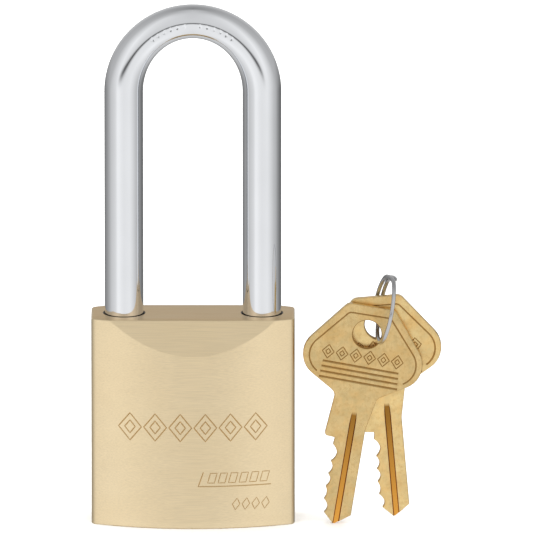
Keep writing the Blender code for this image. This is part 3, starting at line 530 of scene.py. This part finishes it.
def polyline(corners, step=0.0007, closed=False):
    """Points spread evenly along straight sides, for lines that have to follow a curved face."""
    corners = np.array(list(corners) + ([corners[0]] if closed else []), float)
    runs = []
    for start, end in zip(corners[:-1], corners[1:]):
        count = max(2, int(np.linalg.norm(end - start) / step) + 1)
        runs.append(start + (end - start) * np.linspace(0, 1, count)[:-1, None])
    if not closed:
        runs.append(corners[-1:])
    return np.concatenate(runs)


def line_cutter(name, path, outward, width, depth, closed=False):
    """A V-shaped cutter carried along a line on a face; outward holds the face's normal at each point."""
    tangent = (np.roll(path, -1, 0) - np.roll(path, 1, 0)) / 2 if closed else np.gradient(path, axis=0)
    across = np.cross(outward, unit(tangent))
    w, d = width / 2, depth
    section = np.array([(-0.25 * w, -d), (0.25 * w, -d), (w, 0), (1.25 * w, 0.5 * d), (-1.25 * w, 0.5 * d), (-w, 0)])
    return sweep(name, path, section, across, outward, closed)


def lozenge(x, z, half_width, half_height, lean=0.0):
    """Four corners round x, z; lean moves the top one and the bottom one sideways, apart from each other."""
    w, h = half_width, half_height
    return np.array([(x + w, z), (x + lean, z + h), (x - w, z), (x - lean, z - h)])


def ornament():
    """Lines cut in the front, in millimetres: six double lozenges, a slanted band over a line, four small lozenges."""
    lines = []
    for k in range(6):
        x = -15.8 + 6.3 * k
        lines.append((lozenge(x, -26.9, 2.85, 3.5), 1.0, True))
        lines.append((lozenge(x, -26.9, 1.3, 1.65), 1.0, True))
    lines.append((np.array([(2.6, -38.3), (1.3, -42.0), (19.5, -42.0)]), 0.85, False))
    for k in range(6):
        x = 4.0 + 2.62 * k
        leaning = [(x - 0.35, -41.1), (x + 1.35, -41.1), (x + 2.05, -38.6), (x + 0.35, -38.6)]
        lines.append((np.array(leaning), 0.7, True))
    for k in range(4):
        lines.append((lozenge(10.8 + 2.45 * k, -46.7, 0.95, 1.5, 0.25), 0.7, True))
    return lines


def engraving_cutters(s):
    """The ornament laid on the front: y = -(crown half depth at x), with normal (x / R, -sqrt(1 - x^2 / R^2), 0)."""
    meshes = []
    for i, (corners, share, closed) in enumerate(ornament()):
        flat = polyline(corners * MM, closed=closed)
        x, z = flat.T
        path = np.stack([x, -crown_depth(x, s), z], -1)
        a = np.arcsin(x / s.crown_radius)
        outward = np.stack([np.sin(a), -np.cos(a), 0 * a], -1)
        meshes.append(line_cutter(f"line_{i}", path, outward, s.cut_width * share, s.cut_depth * share, closed))
    return join_meshes("ornament", meshes)


def keyhole_outline(grow, shell=0.00775, half=0.0034, reach=0.017):
    """Section of the cylinder opening: a round shell with a round-ended tower toward +X, grown all round."""
    shell, end = shell + grow, reach - half
    half = half + grow
    meet = math.asin(half / shell)
    a = np.linspace(meet, 2 * math.pi - meet, 97)
    b = np.linspace(-math.pi / 2, math.pi / 2, 33)
    return np.concatenate([
        np.stack([shell * np.cos(a), shell * np.sin(a)], -1),
        np.stack([end + half * np.cos(b), half * np.sin(b)], -1),
    ])


def prism(name, outline, low, high):
    """The outline carried straight up from one height to another."""
    return tube(name, np.array([np.column_stack([outline, np.full(len(outline), z)]) for z in (low, high)]))


def bore_profile(radius, bottom, lip=0.00028):
    """Bore up through the top face with a broken edge at its mouth."""
    return [(radius, bottom), (radius, -lip), (radius + lip, 0.0), (radius + 2 * lip, 0.001)]


class PADLOCK_OT_body(bpy.types.Operator):
    """Brushed brass block with its ornament, its bores, and the openings for the ball channel and the lock cylinder"""

    bl_idname = "padlock.body"
    bl_label = "Body"

    def execute(self, context):
        s, f, sh = context.scene.padlock_body, context.scene.padlock_finish, context.scene.padlock_shackle
        obj = object_from("lock_body_brass", body_hull(s))
        bore, side = sh.leg_radius + BORE_GAP, s.half_width
        across = Matrix.Translation((0, 0, -BALL_DEPTH)) @ Matrix.Rotation(math.pi / 2, 4, "Y")
        r, below = CHANNEL_RADIUS, OPENING_TOP - MM
        channel = [(r, -sh.leg_x), (r, side - 0.00025), (0.0044, side), (0.0049, side + 0.0005)]
        heights = (below, SCREW_SEAT, SCREW_SEAT, -0.0142)
        screw = list(zip((SCREW_RADIUS, SCREW_RADIUS, SCREW_HEAD_RADIUS, SCREW_HEAD_RADIUS), heights))
        cut(obj, [
            turned("toe_bore", bore_profile(bore, TOE_BORE_END), ROUND_SIDES, Matrix.Translation((sh.leg_x, 0, 0))),
            turned("heel_bore", bore_profile(bore, HEEL_BORE_END), ROUND_SIDES, Matrix.Translation((-sh.leg_x, 0, 0))),
            turned("ball_channel", channel, ROUND_SIDES, across),
            turned("cam_chamber", [(CHAMBER_RADIUS, below), (CHAMBER_RADIUS, CHAMBER_TOP)], ROUND_SIDES, Matrix()),
            prism("cylinder_opening", keyhole_outline(BORE_GAP), -s.height - MM, OPENING_TOP),
            turned("screw_bore", screw, ROUND_SIDES // 2, Matrix.Translation((SCREW_X, 0, 0))),
            engraving_cutters(s),
        ])
        mesh = obj.data
        x, y, z = vertex_array(mesh).T
        # Painted shade: points sunk into the front, the engraved lines, are marked so that the material colours them
        # darker brown.
        sunk = crown_depth(np.clip(x, -s.half_width, s.half_width), s) - np.abs(y)
        cut_colour_and_shade = (y < 0) & (z < -s.bevel_drop - 0.001) & (sunk > 0.00004) & (sunk < 0.0004) & (np.abs(x) < 0.0205)
        set_attribute(mesh, "groove", cut_colour_and_shade.astype(float))
        brass = brushed_metal("brushed_brass", tuple(f.body_brass), BRUSHED_ALONG_X, anisotropy=0.8)
        finish_piece(obj, brass, "lock_body", ["body"], 20)
        # The level top and base are ground the same way, but their gloss has no upright streak. Their colour is the
        # body brass painted darker and browner, as painted shade for the way the light falls on them.
        mesh.materials.append(brushed_metal("level_face_shaded_brass", tint(f.body_brass, 0.86, 0.775, 0.65)[:3], BRUSHED_ALONG_X))
        level = np.abs(face_array(mesh, "normal")[:, 2]) > 0.9
        x, y, z = face_array(mesh, "center").T
        # Painted shade: the bore walls and broken edges near the top face get near-black colour.
        mouth = (np.hypot(np.abs(x) - sh.leg_x, y) < bore + 0.0004) & (z > -0.003) & ~level
        set_attribute(mesh, "painted_wall_shade", mouth, "FACE")
        mesh.polygons.foreach_set("material_index", level.astype(np.int32))
        return {"FINISHED"}


# ---------------- shackle
TOE_TIP_ROWS, TOE_ROWS = 6, 39


def shackle_path(s):
    """Centre line and radius of the bar: straight legs, then line = leg + (crown - leg) sin^2 a over a half turn,
    while the radius goes from the legs' to the crown's by the same share."""
    crown_r = s.crown_thickness / 2
    crown_line = s.crown_inner + crown_r
    a = np.linspace(0, math.pi, s.rings)
    share = np.sin(a) ** 2
    line = s.leg_x + (crown_line - s.leg_x) * share
    arch = np.stack([line * np.cos(a), 0 * a, s.arch_z + line * np.sin(a)], -1)
    arch_r = s.leg_radius + (crown_r - s.leg_radius) * share
    soft = 0.0008
    t = np.linspace(0, math.pi / 2, TOE_TIP_ROWS)
    straight = np.linspace(-s.toe_depth + 2 * soft, s.arch_z, TOE_ROWS + 1)[:-1]
    toe_z = np.concatenate([-s.toe_depth + soft * (1 - np.cos(t)), straight])
    toe_r = np.concatenate([s.leg_radius - soft * (1 - np.sin(t)), np.full(TOE_ROWS, s.leg_radius)])
    heel_z = np.linspace(s.arch_z, -s.heel_depth + 2 * soft, 150)[1:]
    dz = np.clip(np.abs(heel_z - NECK_Z), 0, NOTCH_RADIUS)
    neck_r = NECK_LINE - np.sqrt(NOTCH_RADIUS**2 - dz**2)
    heel_r = np.minimum(s.leg_radius, np.where(dz < NOTCH_RADIUS, neck_r, s.leg_radius))
    heel_z = np.concatenate([heel_z, -s.heel_depth + soft * (1 - np.cos(t[::-1]))])
    heel_r = np.concatenate([heel_r, s.leg_radius - soft * (1 - np.sin(t[::-1]))])
    toe = np.stack([np.full_like(toe_z, s.leg_x), 0 * toe_z, toe_z], -1)
    heel = np.stack([np.full_like(heel_z, -s.leg_x), 0 * heel_z, heel_z], -1)
    return np.concatenate([toe, arch, heel]), np.concatenate([toe_r, arch_r, heel_r])


def arch_marks(s):
    """Small lozenge punches round the front of the bend: four-sided cones whose axis is the bar's outward normal,
    cos p (-Y) - sin p (outwards in the bend's plane)."""
    meshes = []
    crown_r = s.crown_thickness / 2
    for degrees in np.concatenate([np.arange(56, 88, 5.6), np.arange(97, 126, 5.6)]):
        a, p = math.radians(degrees), math.radians(6)
        share = math.sin(a) ** 2
        line = s.leg_x + (s.crown_inner + crown_r - s.leg_x) * share
        radius = s.leg_radius + (crown_r - s.leg_radius) * share
        out = Vector((math.cos(a), 0, math.sin(a)))
        normal = Vector((0, -1, 0)) * math.cos(p) - out * math.sin(p)
        along = Vector((-math.sin(a), 0, math.cos(a)))
        turn = Matrix((along, normal.cross(along), normal)).transposed().to_4x4()
        place = Matrix.Translation(Vector((0, 0, s.arch_z)) + out * line + normal * radius) @ turn
        cone = [(0.00010, -0.00022), (0.00075, 0.0), (0.00132, 0.0002)]
        meshes.append(turned("arch_mark", cone, 4, place @ Matrix.Diagonal((0.75, 1.1, 1, 1))))
    return meshes


class PADLOCK_OT_shackle(bpy.types.Operator):
    """Chromed bar with its two locking notches, and the groove and neck of the heel leg"""

    bl_idname = "padlock.shackle"
    bl_label = "Shackle"

    def execute(self, context):
        s, f = context.scene.padlock_shackle, context.scene.padlock_finish
        path, radius = shackle_path(s)
        tangent = np.gradient(path, axis=0)
        toe_rows = TOE_TIP_ROWS + TOE_ROWS
        tangent[:toe_rows] = (0, 0, 1)
        tangent[toe_rows + s.rings :] = (0, 0, -1)
        tangent = unit(tangent)
        depth = np.tile((0.0, 1.0, 0.0), (len(path), 1))
        across = np.cross(depth, tangent)
        a = np.linspace(0, 2 * np.pi, ROUND_SIDES, endpoint=False)
        circle = np.stack([np.cos(a), np.sin(a)], -1)
        points = path[:, None, :] + radius[:, None, None] * (
            circle[None, :, :1] * across[:, None, :] + circle[None, :, 1:] * depth[:, None, :]
        )
        obj = object_from("shackle_bar", tube("shackle", points))
        lie = Matrix.Rotation(math.pi / 2, 4, "X")
        notch = [(NOTCH_RADIUS, -0.01), (NOTCH_RADIUS, 0.01)]
        groove = [(NOTCH_RADIUS, NECK_Z), (NOTCH_RADIUS, -BALL_DEPTH)]
        cut(obj, [
            turned("toe_notch", notch, 72, Matrix.Translation((LOCKED_BALL_X, 0, -BALL_DEPTH)) @ lie),
            turned("heel_notch", notch, 72, Matrix.Translation((-LOCKED_BALL_X, 0, -BALL_DEPTH)) @ lie),
            turned("heel_groove", groove, 72, Matrix.Translation((-HEEL_GROOVE_X, 0, 0))),
            join_meshes("arch_marks", arch_marks(s)),
        ])
        chrome = plated_metal("shackle_chrome", tuple(f.chrome), 0.05, 0.025)
        finish_piece(obj, chrome, "shackle", ["shackle"], 35)
        return {"FINISHED"}


# ---------------- keys
# Places on a key in millimetres from its hole's centre: v across it, u up it.
KEY_TOP, KEY_SHOULDER, KEY_TIP = 7.2, -27.3, -49.7
GROOVE_V, GROOVE_TOP = 0.15, -19.0
PEAKS = ((-3.80, -29.3), (-3.62, -33.75), (-3.72, -37.05), (-3.82, -40.35), (-3.72, -43.6), (-3.15, -47.0))
VALLEYS = ((-2.50, -31.9), (-2.98, -35.4), (-3.0, -38.7), (-3.3, -42.0), (-2.6, -45.3))


def key_corners():
    """Corner points of the key in millimetres, hole centre at 0, 0: bow, neck, stop shoulder, cuts and tip.
    A cut between two peaks is v = straight line between them + d sin(pi t)^0.8."""
    corners = [(5.9, KEY_TOP, 2.0), (-5.9, KEY_TOP, 2.0), (-18.2, -8.3, 6.6), (-5.4, -16.0, 2.2),
               (-6.35, KEY_SHOULDER, 0.8), (-3.6, KEY_SHOULDER - 0.2, 0.35)]
    for (v0, u0), (v1, u1), (vc, uc) in zip(PEAKS[:-1], PEAKS[1:], VALLEYS):
        t = np.linspace(0, 1, 12)[:-1]
        middle = (uc - u0) / (u1 - u0)
        deep = (vc - (v0 + (v1 - v0) * middle)) / math.sin(math.pi * middle) ** 0.8
        across = v0 + (v1 - v0) * t + deep * np.sin(math.pi * t) ** 0.8
        corners += [(v, u, 0) for v, u in zip(across, u0 + (u1 - u0) * t)]
    corners += [(*PEAKS[-1], 0), (-0.4, KEY_TIP, 0.5), (3.6, KEY_TIP + 2.97, 0.4),
                (3.6, KEY_SHOULDER + 3.0, 3.0), (5.2, -16.0, 2.2), (18.2, -8.3, 6.6)]
    return corners


def key_lines(half):
    """Rim line, four ridge lines and six small lozenges on both faces of the bow."""
    rim = rounded_outline([(5.2, 4.95, 1.4), (-5.2, 4.95, 1.4), (-16.2, -8.1, 5.4), (-5.2, -14.6, 0.4),
                           (5.2, -14.6, 0.4), (16.2, -8.1, 5.4)], 14)
    # The rim line stays open above the neck, so its points start after the gap.
    upper = np.where(rim[:, 1] > -11.9)[0]
    start = int(np.argmax(np.diff(upper) > 1)) + 1
    rim = rim[np.roll(upper, -start)]
    lines = []
    for face in (half, -half):
        flat = [(rim, 0.46, 0.15, False)]
        for k in range(4):
            u = -8.55 - 1.36 * k
            ends = ((-9.9 - 0.1 * k, u + 0.15), (9.4 + 0.1 * k, u - 0.2))
            flat.append((polyline(np.array(ends), 1.5), 0.66, 0.2, False))
        for k in range(6):
            v = -8.9 + 3.5 * k
            for share in (1.0, 0.42):
                flat.append((polyline(lozenge(v, -5.85, 1.5 * share, 1.75 * share), 0.4, True), 0.3, 0.1, True))
        for i, (line, width, depth, closed) in enumerate(flat):
            path = np.column_stack([line, np.full(len(line), face / MM)]) * MM
            outward = np.tile((0.0, 0.0, math.copysign(1.0, face)), (len(line), 1))
            lines.append(line_cutter(f"key_line_{i}", path, outward, width * MM, depth * MM, closed))
    return lines


def key_mesh(s):
    """Plate with broken edges, its hole, a milled groove down each side of the blade, and the lines of its bow.
    It is made in its own plane, v across and u up the key, and keeps a groove value per point, where the material
    paints colour and shade into the cut metal, and a value per face that marks the groove's side walls for painted
    shade."""
    half, chamfer = s.thickness / 2, s.chamfer
    outline = rounded_outline(key_corners(), 10) * MM
    inner = inset_outline(outline, chamfer)
    layers = [(inner, -half), (outline, -half + chamfer), (outline, half - chamfer), (inner, half)]
    points = np.array([np.column_stack([line, np.full(len(line), z)]) for line, z in layers])
    obj = object_from("key_blank", tube("key_blank", points))
    r, c = s.hole_radius, 0.0003
    lip = [(r + 2 * c, half + c), (r + c, half), (r + 0.3 * c, half - 0.4 * c), (r, half - c)]
    hole = turned("key_hole", [(radius, -level) for radius, level in lip] + lip[::-1], 84, Matrix())
    mid, mills = GROOVE_V * MM, []
    section = np.array([(-0.56, 0.0), (0.56, 0.0), (0.80, 0.5), (0.80, 2.0), (-0.80, 2.0), (-0.80, 0.5)]) * MM
    runout = [(-23.4, 0.5), (-22.3, 0.42), (-21.2, 0.24), (-20.2, 0.0), (-19.8, -0.15)]
    run = np.array([(KEY_TIP - 2.0, 0.5), *runout]) * MM
    for sign in (-1, 1):
        path = np.column_stack([np.full(len(run), mid), run[:, 0], sign * (half - run[:, 1])])
        up = np.tile((0.0, 0.0, float(sign)), (len(path), 1))
        across = np.tile((1.0, 0.0, 0.0), (len(path), 1))
        mills.append(sweep("mill", path, section, across, up))
    cut(obj, [hole, *mills, join_meshes("key_lines", key_lines(half))])
    mesh = obj.data
    v, u, w = vertex_array(mesh).T
    below = half - np.abs(w)
    from_hole = np.hypot(v, u) - r
    nearest = np.min(np.hypot(v[:, None] - outline[None, ::2, 0], u[:, None] - outline[None, ::2, 1]), axis=1)
    # Painted shade: the groove value colours the cut metal. High on the key, in the engraved lines of the bow and the
    # lip of the hole, it is dark brown shade. Down the milled groove it is an orange brown that darkens toward the top.
    milled = (np.abs(v - mid) < 0.79 * MM) & (u < GROOVE_TOP * MM) & (below > 0.0001)
    engraved = (below > 0.00003) & (u > -14.5 * MM) & (nearest > 0.0006) & (from_hole > 1.2 * c)
    hole_lip_shade = (from_hole < 0.9 * c) & (below > 0.00001)
    set_attribute(mesh, "groove", np.maximum(milled * 1.0, np.maximum(engraved * 0.75, hole_lip_shade * 0.8)))
    # Painted shade: the steep side walls of the milled groove are coloured dark brown.
    steep = np.abs(face_array(mesh, "normal")[:, 2]) < 0.9
    v, u, w = face_array(mesh, "center").T
    in_mill = (np.abs(v - mid) < 0.85 * MM) & (u < GROOVE_TOP * MM)
    set_attribute(mesh, "painted_wall_shade", steep & in_mill & (np.abs(w) < half - 0.00002) & (np.abs(w) > 0.0003), "FACE")
    bpy.data.objects.remove(obj, do_unlink=True)
    return mesh


def key_place(box, lean):
    """Where a key stands: its plane at the middle of the CAD key's depth, leaning about its hole.
    The hole's place follows from the box of the leaning outline."""
    outline = rounded_outline(key_corners(), 6) * MM
    x = outline[:, 0] * math.cos(lean) + outline[:, 1] * math.sin(lean)
    z = -outline[:, 0] * math.sin(lean) + outline[:, 1] * math.cos(lean)
    middle = (box[0] + box[1]) / 2
    hole = (middle[0] - (x.min() + x.max()) / 2, middle[1], middle[2] - (z.min() + z.max()) / 2)
    return Matrix.Translation(hole) @ Matrix.Rotation(lean, 4, "Y") @ Matrix.Rotation(math.pi / 2, 4, "X")


class PADLOCK_OT_keys(bpy.types.Operator):
    """The two brass keys"""

    bl_idname = "padlock.keys"
    bl_label = "Keys"

    def execute(self, context):
        s, f = context.scene.padlock_keys, context.scene.padlock_finish
        blank = key_mesh(s)
        # Painted light: the same brass is painted lighter on the rear key (1.12) and darker on the front key (0.96),
        # for the way the light falls on each.
        for name, box, lean, node, share in (
            ("front_key_brass", FRONT_KEY_BOX, s.front_lean, "front_key", 0.96),
            ("rear_key_brass", REAR_KEY_BOX, s.rear_lean, "rear_key", 1.12),
        ):
            mesh = blank.copy()
            mesh.transform(key_place(box, lean))
            obj = object_from(name, mesh)
            rgb = tuple(min(1.0, c * share) for c in f.key_brass)
            brass = key_metal(f"{node}_finish", rgb, tuple(f.groove_brass), (0, -lean, 0))
            finish_piece(obj, brass, node, [node], 28)
        return {"FINISHED"}


# ---------------- split ring
def ease(value):
    value = np.clip(value, 0, 1)
    return value * value * (3 - 2 * value)


class PADLOCK_OT_ring(bpy.types.Operator):
    """Split ring of flattened wire, one turn and a third: one strand at the front, two side by side at the back.
    Point = centre + radius (cos a up + sin a out) + offset axis; the offset eases from right coil to left coil"""

    bl_idname = "padlock.ring"
    bl_label = "Split ring"

    def execute(self, context):
        s, f = context.scene.padlock_ring, context.scene.padlock_finish
        centre = np.array(JOINTS["ring_turn"]["pos_m"])
        up = np.array((math.sin(s.lean), 0, math.cos(s.lean)))
        out = np.array((math.sin(s.yaw), -math.cos(s.yaw), 0))
        out -= up * (out @ up)
        out /= np.linalg.norm(out)
        axis = np.cross(up, out)
        along = np.linspace(0, math.degrees(s.arc), 340)
        angle = np.radians(10.0 - along)
        back = np.where(along > 360, np.maximum(0, -np.sin(angle)) ** 1.5, 0)
        shift, gap, splay = 0.00087, 0.00005, 0.00035
        first = (s.wire_width + gap - shift * ease((along + 10) / 40)) * (1 - ease((along - 110) / 80))
        second = shift * ease((along - 350) / 40) + splay * back
        radial = np.cos(angle)[:, None] * up + np.sin(angle)[:, None] * out
        path = centre + s.radius * radial + (first - second)[:, None] * axis
        side = np.cross(unit(np.gradient(path, axis=0)), radial)
        hh, hw = s.wire_height / 2, s.wire_width / 2
        c = 0.00027
        section = rounded_outline([(-hh, -hw, c), (hh, -hw, c), (hh, hw, c), (-hh, hw, c)], 5)
        # The two ends are rounded off: the section shrinks as the root of a circle over the last points.
        t = np.minimum(np.arange(len(path)), np.arange(len(path))[::-1]) / 9
        shrink = np.where(t < 1, np.sqrt(np.clip(1 - (1 - t) ** 2, 0.02, 1)), 1.0)
        points = path[:, None, :] + shrink[:, None, None] * (
            section[None, :, :1] * radial[:, None, :] + section[None, :, 1:] * side[:, None, :]
        )
        obj = object_from("split_ring_wire", tube("split_ring", points))
        nickel = plated_metal("ring_nickel", tuple(f.ring_steel), 0.16, 0.1)
        finish_piece(obj, nickel, "split_ring", ["split_ring"], 50)
        return {"FINISHED"}


# ---------------- cylinder and works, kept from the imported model
class PADLOCK_OT_works(bpy.types.Operator):
    """Finishes of the lock cylinder, the pins, the cam, the balls and the springs"""

    bl_idname = "padlock.works"
    bl_label = "Cylinder and works"

    def execute(self, context):
        f = context.scene.padlock_finish
        turned_brass = turned_metal("turned_brass", tuple(f.cylinder_brass))
        side_plug = brushed_metal("channel_plug_brass", tuple(f.body_brass), BRUSHED_ALONG_Y)
        steel = plated_metal("works_steel", tuple(f.steel), 0.18, 0.08)
        wire = plated_metal("spring_wire", tuple(f.steel), 0.3, 0.1)
        for name, node in frame["nodes"].items():
            if node.hide_render:
                continue
            if name == "ball_channel_plug":
                mat = side_plug
            elif name.startswith(("pin_spring", "shackle_spring", "plug_clip")):
                mat = wire
            elif name in ("toe_ball", "heel_ball", "cylinder_screw"):
                mat = steel
            else:
                mat = turned_brass
            for slot in node.material_slots:
                slot.material = mat
            if name.startswith("pin_spring"):
                # The driver pin pushes its spring together against the cover strip; here each spring only gets a mesh
                # of its own and keeps its shape.
                x = vertex_array(node.data)[:, 0]
                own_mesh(node)
        return {"FINISHED"}


# ---------------- stage
# Brightness of the tent just under the horizon, by the angle round the object: 0 is the front, + is toward +X.
TENT_LEVEL = {
    -180: 0.20, -149: 0.20, -143: 0.23, -115: 0.33, -96: 0.46, -80: 0.62, -65: 0.69, -52: 0.76, -45: 0.86,
    -38: 0.97, -27: 0.96, -15: 0.90, 0: 0.86, 15: 0.87, 33: 0.885, 46: 0.81, 59: 0.71, 73: 0.592, 90: 0.50,
    107: 0.315, 131: 0.163, 149: 0.16, 180: 0.20,
}


def tent_glow(around, height):
    """Brightness of the light tent in a direction, from its angles in degrees: curves round the object at set heights,
    with straight steps between them, and a thin dark gap at the front between the table's edge and the cloth."""
    a = np.abs(around)
    low = np.interp(a, [0, 40, 90, 180], [0.85, 1.0, 0.66, 0.42])
    level = np.interp(around, list(TENT_LEVEL), list(TENT_LEVEL.values()))
    up = np.interp(a, [0, 15, 42, 60, 90, 130, 160, 180], [0.68, 0.74, 0.95, 0.80, 0.52, 0.45, 0.56, 0.56])
    top = np.interp(a, [0, 42, 90, 180], [0.65, 0.80, 0.50, 0.34])
    high = np.interp(a, [0, 90, 180], [0.62, 0.48, 0.26])
    knots = np.array([-90, -40, -20, -9, 8, 26, 55, 76, 90], float)
    under, over = np.full_like(a, 0.78), np.full_like(a, 0.55)
    rows = np.array([under, low, 0.85 * level + 0.15 * low, level, up, up, top, high, over])
    k = np.clip(np.searchsorted(knots, height) - 1, 0, len(knots) - 2)
    t = (height - knots[k]) / (knots[k + 1] - knots[k])
    index = np.arange(a.size).reshape(a.shape)
    flat = rows.reshape(len(knots), -1)
    glow = flat[k.ravel(), index.ravel()] * (1 - t.ravel()) + flat[k.ravel() + 1, index.ravel()] * t.ravel()
    fade = ease((np.where(around > 0, 1.5 * a, a) - 20) / 26)
    gap = 0.88 * np.exp(-(((height + 0.5) / 4.0) ** 2)) * (1 - fade)
    return glow.reshape(a.shape) * (1 - gap)


class PADLOCK_OT_stage(bpy.types.Operator):
    """Pale floor, an even studio light, a light tent that only reflections see, and the camera"""

    bl_idname = "padlock.stage"
    bl_label = "Stage"

    def execute(self, context):
        s, body = context.scene.padlock_stage, context.scene.padlock_body
        scene = context.scene
        scene.view_settings.view_transform = "Standard"
        scene.view_settings.look = "None"
        world = bpy.data.worlds.new("studio")
        world.use_nodes = True
        world.node_tree.nodes["Background"].inputs["Color"].default_value = (1, 1, 1, 1)
        world.node_tree.nodes["Background"].inputs["Strength"].default_value = s.world
        scene.world = world

        corners = np.array([(x, y, -body.height) for x, y in ((-9, -9), (9, -9), (9, 9), (-9, 9))], float)
        floor = object_from("floor", mesh_from("floor", corners, np.array([[0, 1, 2, 3]])))
        # Reflections see the tent below the horizon in place of the floor.
        n = Nodes("pale_floor")
        n.set(Base_Color=(0.93, 0.93, 0.925, 1.0), Roughness=0.75, Specular_IOR_Level=0.2)
        floor.data.materials.append(n.mat)
        floor.visible_glossy = False

        # Light tent: a sphere x = r cos h sin a, y = -r cos h cos a, z = r sin h.
        around, height = np.meshgrid(np.linspace(-180, 180, 181), np.linspace(-89.98, 89.98, 181))
        a, h = np.radians(around), np.radians(height)
        points = s.tent_radius * np.stack([np.cos(h) * np.sin(a), -np.cos(h) * np.cos(a), np.sin(h)], -1)
        mesh = bpy.data.meshes.new("light_tent")
        mesh.from_pydata(points.reshape(-1, 3).tolist(), [], grid_quads(*around.shape).tolist())
        set_attribute(mesh, "glow", tent_glow(around, height).ravel())
        tent = object_from("light_tent", mesh)
        t = Nodes("tent_cloth")
        value = t.attribute("glow")
        light = t.add("ShaderNodeEmission", {"Color": (1, 1, 1, 1), "Strength": value})
        t.tree.links.new(light.outputs[0], t.tree.nodes["Material Output"].inputs["Surface"])
        t.mat.cycles.emission_sampling = "NONE"
        mesh.materials.append(t.mat)
        tent.visible_camera = tent.visible_diffuse = tent.visible_shadow = tent.visible_transmission = False

        camera = bpy.data.objects.new("camera", bpy.data.cameras.new("camera"))
        scene.collection.objects.link(camera)
        back = Vector((0, -math.cos(s.elevation), math.sin(s.elevation)))
        camera.location = Vector(s.target) + back * s.distance
        camera.rotation_euler = (-back).to_track_quat("-Z", "Y").to_euler()
        camera.data.lens = s.lens
        camera.data.sensor_width = 36
        camera.data.clip_start, camera.data.clip_end = 0.05, 50
        scene.camera = camera
        return {"FINISHED"}


class PADLOCK_PT_panel(bpy.types.Panel):
    """Sidebar panel that lists the pieces"""

    bl_idname = "PADLOCK_PT_panel"
    bl_label = "Padlock"
    bl_space_type = "VIEW_3D"
    bl_region_type = "UI"
    bl_category = "Padlock"

    def draw(self, context):
        for operator in OPERATORS:
            self.layout.operator(operator.bl_idname)
        for group in SETTINGS:
            box = self.layout.box()
            box.label(text=group[0].replace("padlock_", "").capitalize())
            settings = getattr(context.scene, group[0])
            for key in group[1].__annotations__:
                box.prop(settings, key)


SETTINGS = (
    ("padlock_body", PadlockBodySettings),
    ("padlock_shackle", PadlockShackleSettings),
    ("padlock_keys", PadlockKeySettings),
    ("padlock_ring", PadlockRingSettings),
    ("padlock_finish", PadlockFinishSettings),
    ("padlock_stage", PadlockStageSettings),
)
OPERATORS = (PADLOCK_OT_body, PADLOCK_OT_shackle, PADLOCK_OT_keys, PADLOCK_OT_ring, PADLOCK_OT_works, PADLOCK_OT_stage)


CLASSES = (*(group for _, group in SETTINGS), *OPERATORS, PADLOCK_PT_panel)


def register():
    for item in CLASSES:
        bpy.utils.register_class(item)
    for name, group in SETTINGS:
        setattr(bpy.types.Scene, name, PointerProperty(type=group))


def unregister():
    for name, _ in SETTINGS:
        delattr(bpy.types.Scene, name)
    for item in reversed(CLASSES):
        bpy.utils.unregister_class(item)


def main():
    register()
    bpy.ops.padlock.body()
    bpy.ops.padlock.shackle()
    bpy.ops.padlock.keys()
    bpy.ops.padlock.ring()
    bpy.ops.padlock.works()
    bpy.ops.padlock.stage()


if __name__ == "__main__":
    main()
